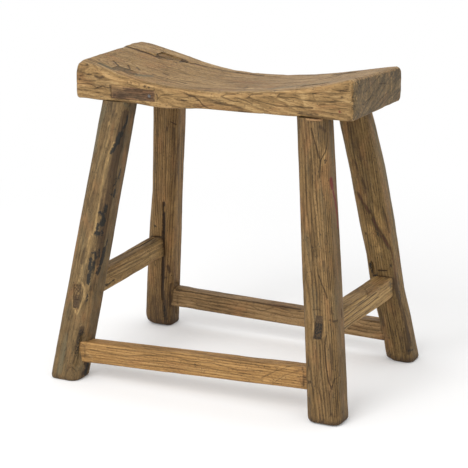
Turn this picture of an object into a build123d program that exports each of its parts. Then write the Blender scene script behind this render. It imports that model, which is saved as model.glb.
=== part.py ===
from build123d import *
from dataclasses import dataclass
from math import cos, pi, radians, sin, tan
import os

# Saddle seat stool of old elm: a dished plank on four splayed legs, tied by four stretchers.
# Millimetres. X runs along the plank, Y from front to back, Z up. The origin is on the floor,
# below the middle of the plank. Angles are degrees and shares are plain ratios.

# Plank
seat_length = 474.0
seat_depth = 209.0
seat_height = 450.0
end_thickness = 68.0
saddle_sag = 41.0
end_bulge = 2.0
corner_rounding = 9.0
top_edge_rounding = 8.0
low_edge_rounding = 5.0
# Depth of the hollow along the front and back edge, as shares of the sag, and where along half the length
hollow_place_shares = (-1, -0.66, -0.36, -0.07, 0.22, 0.5, 0.77, 1)
front_hollow_shares = (0.165, 0.6, 0.9, 0.98, 0.9, 0.72, 0.44, 0.09)
back_hollow_shares = (0.01, 0.43, 0.82, 0.99, 0.965, 0.785, 0.53, 0.32)
# Steps from the face of a worn edge round to its flat
rounding_steps = 3

# Legs
leg_top_width = 48.5
leg_foot_width = 54.5
leg_depth_share = 0.92
leg_corner_share = 0.27
arris_flats = 4
end_splay = 7.7
side_splay = 9.75
end_setback = 44.5
side_setback = 0.4
foot_rounding = 4.5
# Height up the leg, sideways crook and width there, as shares of the height and of the leg's own width
LEG_SHARES = {
    "front_left": [(0.0, 0.0, 0.99), (0.5, 0.0, 1.01), (1.0, 0.0, 1.0)],
    "front_right": [(0.0, 0.0, 1.01), (0.5, 0.0, 1.02), (1.0, 0.0, 1.0)],
    "back_left": [(0.0, 0.0, 0.98), (0.22, 0.0, 0.98), (0.45, 0.03, 0.96), (0.57, 0.055, 0.91),
                  (0.7, 0.057, 0.94), (0.85, 0.05, 0.98), (1.0, 0.035, 1.0)],
    "back_right": [(0.0, 0.055, 0.92), (0.09, 0.06, 0.89), (0.17, 0.04, 0.9), (0.28, -0.03, 0.93),
                   (0.42, 0.01, 0.93), (0.54, 0.005, 1.01), (0.75, 0.0, 1.04), (0.9, -0.06, 1.03),
                   (1.0, -0.11, 0.98)],
}

# Through tenons of the legs, and the wedge that spreads each of them
tenon_length = 40.0
tenon_thickness = 18.0
tenon_clearance = 0.15
back_tenon_inset_x = 6.0
back_tenon_inset_y = 10.0
wedge_top = 3.8
wedge_tip = 1.2
wedge_reach = 33.0
wedge_clearance = 0.1

# Stretchers: height above the floor at each end, section, and how far outside the legs' middles
front_left_height = 45.5
front_right_height = 62.0
front_rail_height = 34.5
front_rail_thickness = 25.0
back_left_height = 57.0
back_right_height = 49.0
back_rail_height = 31.5
back_rail_thickness = 26.0
left_front_height = 145.5
left_back_height = 156.5
left_rail_height = 35.5
left_rail_thickness = 23.0
left_rail_shift = 2.0
right_front_height = 139.5
right_back_height = 135.5
right_rail_height = 34.5
right_rail_thickness = 31.0
right_rail_shift = 0.5
rail_rounding = 3.0
shoulder_clearance = 0.15

# Tenons of the stretchers, and the packing key beside each one that shows at the front
rail_tenon_thickness = 11.0
rail_tenon_height = 23.0
rail_tenon_clearance = 0.1
blind_tenon_length = 34.0
blind_end_gap = 1.5
key_height = 14.0
key_tip = 9.0

# Repair let into the front edge of the plank, with its nail
patch_length = 78.0
patch_left_height = 22.0
patch_right_height = 17.0
patch_depth = 5.0
patch_from_left_end = 66.0
patch_above_underside = 5.5
patch_clearance = 0.1
nail_shank = 2.4
nail_head = 5.2
nail_head_height = 1.0
nail_length = 17.0
nail_clearance = 0.1
nail_from_patch_end = 10.0

# Sliver of wood packed in at the shoulder of the front right leg
shim_length = 30.0
shim_depth = 11.0
shim_thickness = 3.0
shim_edge = 1.8
shim_shift = 5.0
shim_clearance = 0.1

overrun = 20.0

LEG_SIDES = {"front_left": (-1, -1), "front_right": (1, -1), "back_left": (-1, 1), "back_right": (1, 1)}


@dataclass
class Rail:
    """A stretcher between two legs. One with a key, above (1) or below (-1), has through tenons."""
    start: str
    end: str
    start_height: float
    end_height: float
    height: float
    thickness: float
    shift: float = 0.0
    key_side: int = 0


RAILS = {
    "stretcher_front": Rail("front_left", "front_right", front_left_height, front_right_height,
                            front_rail_height, front_rail_thickness),
    "stretcher_back": Rail("back_left", "back_right", back_left_height, back_right_height,
                           back_rail_height, back_rail_thickness),
    "stretcher_left": Rail("front_left", "back_left", left_front_height, left_back_height,
                           left_rail_height, left_rail_thickness, left_rail_shift, -1),
    "stretcher_right": Rail("front_right", "back_right", right_front_height, right_back_height,
                            right_rail_height, right_rail_thickness, right_rail_shift, 1),
}


def slab(plane, corners, thickness):
    """Flat piece of this outline, standing evenly on both sides of the plane."""
    return extrude(plane * make_face(Polyline(*corners, close=True)), thickness / 2, both=True)


# Plank

def hollow_outline(y, inset_share):
    """Side outline of the plank at this depth, drawn in by a share of its edges' roundings."""
    half = seat_length / 2 - corner_rounding * inset_share
    low = seat_height + low_edge_rounding * inset_share
    high = seat_height + end_thickness - top_edge_rounding * inset_share
    crest = []
    for place, front, back in zip(hollow_place_shares, front_hollow_shares, back_hollow_shares):
        sag = (front + back) / 2 + (back - front) * y / seat_depth
        crest.append((half * place, high - saddle_sag * sag))
    left_middle = (-half - end_bulge, (low + crest[0][1]) / 2)
    right_middle = (half + end_bulge, (low + crest[-1][1]) / 2)
    edge = Line((-half, low), (half, low)) + ThreePointArc((half, low), right_middle, crest[-1])
    edge += Spline(*crest) + ThreePointArc(crest[0], left_middle, (-half, low))
    corners = make_face(edge).vertices().sort_by(Axis.Y)
    outline = fillet(corners[:2], low_edge_rounding)
    outline = fillet(outline.vertices().sort_by(Axis.Y)[-2:], top_edge_rounding)
    return Plane((0, y, 0), x_dir=(1, 0, 0), z_dir=(0, -1, 0)) * outline


def saddle_blank():
    """The dished plank with its worn corners and edges, before any joint is cut."""
    edges = []
    for step in range(rounding_steps + 1):
        turn = pi / 2 * step / rounding_steps
        edges.append((seat_depth / 2 - top_edge_rounding * (1 - cos(turn)), 1 - sin(turn)))
    front = [hollow_outline(-y, inset_share) for y, inset_share in edges]
    back = [hollow_outline(y, inset_share) for y, inset_share in reversed(edges)]
    return loft(front + back, ruled=True)


# Legs

def leg_middle(leg, height):
    """Where the middle of a leg is at a height above the floor."""
    side_x, side_y = LEG_SIDES[leg]
    below = seat_height - height
    x = seat_length / 2 - end_setback - leg_top_width / 2 + below * tan(radians(end_splay))
    y = seat_depth / 2 - side_setback - leg_top_width * leg_depth_share / 2 + below * tan(radians(side_splay))
    return side_x * x, side_y * y


def leg_width(height):
    return leg_foot_width + (leg_top_width - leg_foot_width) * height / seat_height


def soft_square(width, depth, corner):
    """Outline of a hand-planed timber: each arris is taken off in narrow flats that follow an arc."""
    points = []
    for quarter, (side_x, side_y) in enumerate(((1, 1), (-1, 1), (-1, -1), (1, -1))):
        for flat in range(arris_flats + 1):
            turn = pi / 2 * (quarter + flat / arris_flats)
            x = side_x * (width / 2 - corner) + corner * cos(turn)
            y = side_y * (depth / 2 - corner) + corner * sin(turn)
            points.append((x, y))
    return make_face(Polyline(*points, close=True))


def leg_section(leg, height, crook_share, width_share, grow):
    x, y = leg_middle(leg, height)
    width = leg_width(height) * width_share
    depth = width * leg_depth_share
    outline = soft_square(width + 2 * grow, depth + 2 * grow, width * leg_corner_share + grow)
    return Plane((x + crook_share * leg_foot_width, y, height)) * outline


def leg_blank(leg, grow=0):
    """Four-square leg with soft corners, from its worn foot to its shoulder under the plank."""
    (_, crook_share, width_share), *upper = LEG_SHARES[leg]
    sections = []
    for turn in (0, pi / 4, pi / 2):
        height = foot_rounding * (1 - cos(turn))
        inset = foot_rounding * (1 - sin(turn))
        sections.append(leg_section(leg, height, crook_share, width_share, grow - inset))
    for height_share, crook_share, width_share in upper:
        sections.append(leg_section(leg, seat_height * height_share, crook_share, width_share, grow))
    return loft(sections, ruled=True)


def leaning_block(leg, low, high, low_size, high_size):
    """Tapered block that follows the leg's lean up through the plank."""
    side_x, side_y = LEG_SIDES[leg]
    ends = []
    for height, size in ((low, low_size), (high, high_size)):
        x, y = leg_middle(leg, height)
        if side_y > 0:
            x -= side_x * back_tenon_inset_x
            y -= side_y * back_tenon_inset_y
        ends.append(Plane((x, y, height)) * Rectangle(*size))
    return loft(ends, ruled=True)


def seat_tenon(leg, grow=0):
    size = (tenon_length + 2 * grow, tenon_thickness + 2 * grow)
    return leaning_block(leg, seat_height - grow, seat_height + end_thickness + overrun, size, size)


def tenon_wedge(leg, grow=0):
    """Wedge driven down the middle of a tenon, and with room added the kerf that takes it."""
    high = seat_height + end_thickness + overrun
    low = seat_height + end_thickness - saddle_sag / 2 - wedge_reach
    tip = (tenon_length + 2 * grow, wedge_tip + 2 * grow)
    top = (tenon_length + 2 * grow, wedge_top + 2 * grow)
    return leaning_block(leg, low - grow, high, tip, top)


def shoulder_shim(grow=0):
    """Wedge-shaped sliver under the plank, along the front of the front right leg."""
    x, y = leg_middle("front_right", seat_height)
    front = y - leg_top_width * leg_depth_share / 2
    side = [(front - overrun, seat_height + grow), (front - overrun, seat_height - shim_thickness - grow),
            (front, seat_height - shim_thickness - grow),
            (front + shim_depth + grow, seat_height - shim_edge - grow),
            (front + shim_depth + grow, seat_height + grow)]
    plane = Plane((x + shim_shift, 0, 0), x_dir=(0, 1, 0), z_dir=(1, 0, 0))
    return slab(plane, side, shim_length + 2 * grow)


# Stretchers

def rail_ends(rail):
    """Middle of the stretcher where it crosses the middle of each leg."""
    ends = []
    for leg, height in ((rail.start, rail.start_height), (rail.end, rail.end_height)):
        x, y = leg_middle(leg, height)
        ends.append((x + rail.shift * LEG_SIDES[leg][0], y, height))
    return ends


def rail_frame(rail):
    """Upright plane along the stretcher, from the middle of its first leg, and its run."""
    (x0, y0, _), (x1, y1, _) = rail_ends(rail)
    run = ((x1 - x0) ** 2 + (y1 - y0) ** 2) ** 0.5
    along = ((x1 - x0) / run, (y1 - y0) / run, 0)
    return Plane((x0, y0, 0), x_dir=along, z_dir=(along[1], -along[0], 0)), run


def rail_bar(rail, before, beyond, height, thickness, raised=0.0):
    """Straight bar on the stretcher's line, from before its first leg's middle to beyond its last."""
    plane, run = rail_frame(rail)
    slope = (rail.end_height - rail.start_height) / run
    corners = []
    for along, side in ((-before, -1), (run + beyond, -1), (run + beyond, 1), (-before, 1)):
        corners.append((along, rail.start_height + raised + slope * along + side * height / 2))
    return slab(plane, corners, thickness)


def tenon_bar(rail, grow=0, end_gap=0):
    """Both tenons in one bar: right through the legs, or to their blind depth."""
    reach = blind_tenon_length - leg_width(rail.start_height) / 2 + end_gap
    if rail.key_side:
        reach = leg_foot_width + overrun
    return rail_bar(rail, reach, reach, rail_tenon_height + 2 * grow, rail_tenon_thickness + 2 * grow)


def stretcher(rail):
    """Rail with worn edges, shoulders scribed to the legs, and its two tenons."""
    body = rail_bar(rail, 0, 0, rail.height, rail.thickness)
    body = fillet(body.edges().sort_by(SortBy.LENGTH)[-4:], rail_rounding)
    tenons = tenon_bar(rail)
    shoulders = body
    for leg in (rail.start, rail.end):
        shoulders -= leg_blank(leg, shoulder_clearance)
    if rail.key_side:
        tenons = (tenons & body) + (tenons & leg_blank(rail.start)) + (tenons & leg_blank(rail.end))
    return shoulders + tenons


def tenon_key(rail, grow=0):
    """Tapered packing above or below the tenon in the front leg, thick end out."""
    plane, run = rail_frame(rail)
    slope = (rail.end_height - rail.start_height) / run
    reach = leg_foot_width / 2 + overrun
    half_leg = leg_width(rail.start_height) * leg_depth_share / 2
    taper = (key_tip - key_height) / (2 * half_leg)
    near = rail_tenon_height / 2 + rail_tenon_clearance - grow
    corners = []
    for along, far in ((-reach, False), (reach, False), (reach, True), (-reach, True)):
        away = near
        if far:
            away += key_height + taper * (along + half_leg) + 2 * grow
        corners.append((along, rail.start_height + slope * along + rail.key_side * away))
    return slab(plane, corners, rail_tenon_thickness + 2 * grow)


# Repair in the front edge

def patch_outline(grow):
    left = -seat_length / 2 + patch_from_left_end - grow
    right = left + patch_length + 2 * grow
    low = seat_height + patch_above_underside - grow
    return [(left, low), (right, low), (right, low + patch_right_height + 2 * grow),
            (left, low + patch_left_height + 2 * grow)]


def edge_patch(grow=0):
    """Thin piece of darker wood let into the front edge, flush with it."""
    plane = Plane((0, -seat_depth / 2, 0), x_dir=(1, 0, 0), z_dir=(0, -1, 0))
    return extrude(plane * make_face(Polyline(*patch_outline(grow), close=True)), -patch_depth - grow)


def patch_nail(grow=0):
    x = -seat_length / 2 + patch_from_left_end + patch_length - nail_from_patch_end
    z = seat_height + patch_above_underside + patch_right_height / 2
    face = Plane((x, -seat_depth / 2, z), x_dir=(1, 0, 0), z_dir=(0, -1, 0))
    head = extrude(face * Circle(nail_head / 2), nail_head_height)
    shank = extrude(face * Circle(nail_shank / 2 + grow), -nail_length - grow)
    return head + shank


# Pieces

def seat_plank(saddle):
    plank = saddle
    for leg in LEG_SIDES:
        plank -= seat_tenon(leg, tenon_clearance)
    return plank - edge_patch(patch_clearance) - patch_nail(nail_clearance)


def finished_leg(leg, saddle):
    """Leg with its wedged tenon flush with the hollow of the plank, and its mortises."""
    piece = leg_blank(leg) + (seat_tenon(leg) & saddle)
    piece -= tenon_wedge(leg, wedge_clearance)
    for rail in RAILS.values():
        if leg in (rail.start, rail.end):
            piece -= tenon_bar(rail, rail_tenon_clearance, blind_end_gap)
        if leg == rail.start and rail.key_side:
            piece -= tenon_key(rail, rail_tenon_clearance)
    if leg == "front_right":
        piece -= shoulder_shim(shim_clearance)
    return piece


def build_pieces():
    saddle = saddle_blank()
    pieces = {"seat_plank": seat_plank(saddle)}
    for leg in LEG_SIDES:
        pieces["leg_" + leg] = finished_leg(leg, saddle)
        pieces["wedge_" + leg] = tenon_wedge(leg) & saddle
    for name, rail in RAILS.items():
        pieces[name] = stretcher(rail)
        if rail.key_side:
            pieces[name.replace("stretcher", "key")] = tenon_key(rail) & leg_blank(rail.start)
    pieces["edge_patch"] = edge_patch() - patch_nail(nail_clearance)
    pieces["patch_nail"] = patch_nail()
    pieces["shoulder_shim"] = shoulder_shim() & leg_blank("front_right")
    return pieces


os.makedirs("parts", exist_ok=True)
for name, piece in build_pieces().items():
    export_step(piece, os.path.join("parts", name + ".step"))
    print(name, len(piece.solids()), "solid", round(piece.volume), "mm3")
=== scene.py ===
# %% [markdown]
# # A saddle-seat stool of old elm
# The stool is eighteen pieces of wood and iron: a thick dished plank, four splayed legs whose
# tenons come up through it and are wedged, four stretchers, and a few small repairs. Its sizes and
# joints are fixed by the CAD model. This lesson keeps every size and gives the timbers what a
# hundred years of use gave the real ones: hewn faces, worn arrises, cracks, dents, dirt in the
# joints, and the grain. Each timber is sliced from its CAD node, so it stays where the node is. A
# plain bevel and a texture would be quicker, but the wear on such a stool is in its shape, and
# light finds it from every side.

import functools
import math
from collections import namedtuple
from dataclasses import dataclass
from types import SimpleNamespace

import bmesh
import bpy
import numpy as np
from mathutils import Matrix, Vector
from mathutils.bvhtree import BVHTree


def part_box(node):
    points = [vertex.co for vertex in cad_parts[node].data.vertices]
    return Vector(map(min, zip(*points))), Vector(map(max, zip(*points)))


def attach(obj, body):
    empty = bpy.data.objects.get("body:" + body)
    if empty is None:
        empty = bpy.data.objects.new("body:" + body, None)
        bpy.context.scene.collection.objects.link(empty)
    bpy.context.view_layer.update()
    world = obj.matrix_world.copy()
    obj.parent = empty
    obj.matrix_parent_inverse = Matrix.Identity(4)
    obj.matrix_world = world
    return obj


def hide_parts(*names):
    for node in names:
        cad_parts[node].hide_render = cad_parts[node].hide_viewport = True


MM = 0.001
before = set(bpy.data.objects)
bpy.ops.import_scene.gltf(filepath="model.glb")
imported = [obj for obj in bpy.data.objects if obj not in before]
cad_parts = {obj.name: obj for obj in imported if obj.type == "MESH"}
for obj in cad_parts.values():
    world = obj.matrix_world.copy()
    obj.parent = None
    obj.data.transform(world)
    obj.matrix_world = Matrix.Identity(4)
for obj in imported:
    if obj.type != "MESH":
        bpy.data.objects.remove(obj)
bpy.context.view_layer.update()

# %% [markdown]
# ## Camera
# The photograph is taken with a long lens from about two and a half metres, so the legs hardly
# converge. Two angles and a distance place the camera round the point it looks at, and a small roll
# turns its two side axes about its line of sight.

# %% Set the camera
CAMERA_DISTANCE = 2.564084
CAMERA_AROUND, CAMERA_ABOVE = math.radians(25.929), math.radians(14.751)
CAMERA_TARGET = Vector((-0.007238, 0, 0.227428))
CAMERA_ROLL = math.radians(-0.068)
CAMERA_LENS = 121.0


def add_camera():
    """A camera that looks at its target from these angles and this distance."""
    back = Vector((math.sin(CAMERA_AROUND) * math.cos(CAMERA_ABOVE),
                   -math.cos(CAMERA_AROUND) * math.cos(CAMERA_ABOVE), math.sin(CAMERA_ABOVE)))
    right = Vector((0, 0, 1)).cross(back).normalized()
    up = back.cross(right)
    rolled = right * math.cos(CAMERA_ROLL) + up * math.sin(CAMERA_ROLL)
    camera = bpy.data.objects.new("camera", bpy.data.cameras.new("camera"))
    camera.data.lens = CAMERA_LENS
    camera.matrix_world = Matrix((rolled, back.cross(rolled), back)).transposed().to_4x4()
    camera.location = CAMERA_TARGET + back * CAMERA_DISTANCE
    bpy.context.scene.collection.objects.link(camera)
    bpy.context.scene.camera = camera


add_camera()
print("camera at", [round(place, 3) for place in bpy.context.scene.camera.location])

# %% [markdown]
# ## Slicing a timber
# The CAD nodes have large flat triangles, too few to wear down. Each timber is convex across its
# length, apart from its mortises, so a plane across it cuts an outline whose convex hull is the
# uncut timber. Many such outlines, each with the same number of points between its four corners,
# make an even grid of small faces. A remesh would soften the arrises, and a subdivision would
# follow the long triangles.

# %% Cut a CAD node across
HULL_DIGITS = 7
CORNER_WAYS = ((-1, -1), (1, -1), (1, 1), (-1, 1))


def arrays_of(node):
    """Vertices, edges and triangles of a CAD node, in metres."""
    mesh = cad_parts[node].data
    mesh.calc_loop_triangles()
    points = np.empty(len(mesh.vertices) * 3, np.float32)
    mesh.vertices.foreach_get("co", points)
    edges = np.empty(len(mesh.edges) * 2, np.int32)
    mesh.edges.foreach_get("vertices", edges)
    triangles = np.empty(len(mesh.loop_triangles) * 3, np.int32)
    mesh.loop_triangles.foreach_get("vertices", triangles)
    return points.reshape(-1, 3).astype(float), edges.reshape(-1, 2), triangles.reshape(-1, 3)


def turn_of(a, b, c):
    """Above zero where the way from a over b to c turns left."""
    return (b[0] - a[0]) * (c[1] - a[1]) - (b[1] - a[1]) * (c[0] - a[0])


def hull_of(flat):
    """Convex outline round points in a plane."""
    order = sorted(set(map(tuple, flat.round(HULL_DIGITS))))
    hull = []
    for run in (order, order[::-1]):
        side = []
        for point in run:
            while len(side) > 1 and turn_of(side[-2], side[-1], point) <= 0:
                side.pop()
            side.append(point)
        hull += side[:-1]
    return np.array(hull)


def outline_at(node, axis, place):
    """Convex outline, in the other two axes, where a plane across this axis cuts a CAD node."""
    points, edges, _ = arrays_of(node)
    start, end = points[edges[:, 0]], points[edges[:, 1]]
    before, after = start[:, axis] - place, end[:, axis] - place
    cut = before * after < 0
    share = (before[cut] / (before[cut] - after[cut]))[:, None]
    return hull_of(np.delete(start[cut] + share * (end[cut] - start[cut]), axis, 1))


def evenly_round(hull, counts):
    """Points round an outline, so many on each of its sides, and their distances from a corner."""
    middle, size = (hull.max(0) + hull.min(0)) / 2, np.ptp(hull, 0)
    lean = (hull - middle) / size
    corners = [int(np.argmax(lean @ way)) for way in CORNER_WAYS]
    placed, from_corner = [], []
    for corner, after, count in zip(corners, corners[1:] + corners[:1], counts):
        steps = (after - corner) % len(hull) or len(hull)
        run = hull[[(corner + step) % len(hull) for step in range(steps + 1)]]
        lengths = np.r_[0, np.cumsum(np.linalg.norm(np.diff(run, axis=0), axis=1))]
        wanted = np.linspace(0, lengths[-1], count, endpoint=False)
        placed.append(np.stack([np.interp(wanted, lengths, run[:, way]) for way in (0, 1)], 1))
        from_corner.append(np.minimum(wanted, lengths[-1] - wanted))
    return np.concatenate(placed), np.concatenate(from_corner)


print("the long edges of", len(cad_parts), "nodes can be cut")

# %% [markdown]
# The ends of a timber are closed with rings that shrink towards the middle. Where an end is seen,
# each ring's points are shot along the timber onto the CAD face, so a bulged or leaning end keeps
# its form.

# %% Build the skin of a timber
RING_STEP, LEAST_RINGS, FIRST_RING = 2.2 * MM, 3, 0.04
HIDDEN_RINGS = (0.7, 0.4, 0.1)
END_SEARCH = 12 * MM
ROUNDING_STEPS = 7


def shot_rings(section, axis, side, tree, place):
    """Rings from an end's outline to its middle, on the CAD face."""
    middle = section.mean(0)
    count = max(LEAST_RINGS, int(np.ptp(section, 0).min() / 2 / RING_STEP))
    way = Vector(np.insert((0.0, 0.0), axis, -side))
    rings = []
    for ring in range(count):
        flat = middle + (section - middle) * (1 - (ring + FIRST_RING) / count)
        hits = []
        for point in flat:
            hit = tree.ray_cast(Vector(np.insert(point, axis, place + side * END_SEARCH)), way)[0]
            hits.append(place if hit is None else hit[axis])
        hits = np.where(np.abs(np.array(hits) - place) > END_SEARCH, place, hits)
        rings.append(np.insert(flat, axis, hits, 1))
    return rings


def flat_rings(section, axis, place):
    """A few rings that close a hidden end flat."""
    middle = section.mean(0)
    return [np.insert(middle + (section - middle) * share, axis, place, 1)
            for share in HIDDEN_RINGS]


def grid_faces(row_count, columns, axis):
    """Faces between rows of points that close round a timber, and one face on each end."""
    last = (row_count - 1) * columns
    first = np.arange(columns)
    after = (first + 1) % columns
    faces = [list(range(columns))[::-1], list(range(last, last + columns))]
    for low in range(0, last, columns):
        above = low + columns
        faces += np.stack([low + first, low + after, above + after, above + first], 1).tolist()
    return [face[::-1] for face in faces] if axis == 1 else faces


def skin_of(node, axis, stations, counts, shot=(True, True)):
    """Closed grid over a timber: points, faces, and how far each point is from an arris."""
    points, _, triangles = arrays_of(node)
    tree = BVHTree.FromPolygons(points.tolist(), triangles.tolist())
    rows, from_arris = [], []
    for place in stations:
        section, from_corner = evenly_round(outline_at(node, axis, place), counts)
        rows.append(np.insert(section, axis, place, 1))
        from_arris.append(from_corner)
    for end, side in ((0, -1), (-1, 1)):
        section = np.delete(rows[end], axis, 1)
        if shot[end]:
            rings = shot_rings(section, axis, side, tree, stations[end])
        else:
            rings = flat_rings(section, axis, stations[end])
        away = [np.full(len(section), (2 * order + 1) * RING_STEP / 2)
                for order in range(len(rings))]
        rows = rings[::-1] + rows if end == 0 else rows + rings
        from_arris = away[::-1] + from_arris if end == 0 else from_arris + away
    faces = grid_faces(len(rows), len(rows[0]), axis)
    return np.concatenate(rows), faces, np.concatenate(from_arris)


def rounded_stations(low, high, step, low_rounding, high_rounding):
    """Stations along a timber, close together where its ends are rounded."""
    turns = np.linspace(0, math.pi / 2, ROUNDING_STEPS)[1:]
    start = low + low_rounding * (1 - np.cos(turns))
    end = high - high_rounding * (1 - np.cos(turns[::-1]))
    count = int((end[0] - start[-1]) / step)
    return np.r_[start, np.linspace(start[-1], end[0], count)[1:-1], end]


print("an end face has a ring every", RING_STEP / MM, "mm")

# %% [markdown]
# ## Noise for hewing and wear
# Hand tools and years leave a timber uneven at every scale. A table of random numbers, read with
# smooth steps between its entries, gives the same unevenness on each run. The points are divided by
# the size of the lumps in each direction, so stretched lumps make long planed hollows.

# %% Smooth noise on points
NOISE_SIDE, NOISE_SEED, SEED_SHIFT = 32, 7, 7.31
noise_table = np.random.default_rng(NOISE_SEED).uniform(-1, 1, (NOISE_SIDE,) * 3)


def eased(share):
    """A share from 0 to 1 that starts and ends gently."""
    return share * share * (3 - 2 * share)


def lumps(points, size, seed=0):
    """Smooth noise from -1 to 1, with lumps of this size in metres."""
    scaled = points / np.array(size) + seed * SEED_SHIFT
    cell = np.floor(scaled).astype(int)
    share = eased(scaled - cell)
    total = np.zeros(len(points))
    for corner in np.ndindex(2, 2, 2):
        weight = np.prod(np.where(corner, share, 1 - share), 1)
        total += weight * noise_table[tuple(((cell + corner) % NOISE_SIDE).T)]
    return total


def soft_step(low, high, value):
    """0 at low, 1 at high, and eased between them."""
    return eased(np.clip((value - low) / (high - low), 0, 1))


def hump(value, middle, width):
    """1 at the middle, falling off smoothly to each side."""
    return np.exp(-((value - middle) / width) ** 2)


def line_distance(points, line, normals=None):
    """How far each point is from a line of several runs and, with normals, how far to its left.

    A line of one point is moved to the nearest place on the surface.
    """
    corners = np.array(line, float) * MM
    nearest, side = np.full(len(points), np.inf), np.zeros(len(points))
    if len(corners) == 1:
        nearest = np.linalg.norm(points - corners[0], axis=1)
    for start, end in zip(corners[:-1], corners[1:]):
        run = end - start
        share = np.clip((points - start) @ run / (run @ run), 0, 1)
        offset = points - start - share[:, None] * run
        away = np.linalg.norm(offset, axis=1)
        closer = away < nearest
        if normals is not None:
            left = np.cross(normals, run / np.linalg.norm(run))
            side = np.where(closer, (left * offset).sum(1), side)
        nearest = np.where(closer, away, nearest)
    if normals is not None:
        return nearest, side
    return nearest - nearest.min() if len(corners) == 1 else nearest


print("noise at the corner", lumps(np.zeros((1, 3)), (1, 1, 1))[0].round(3))
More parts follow.
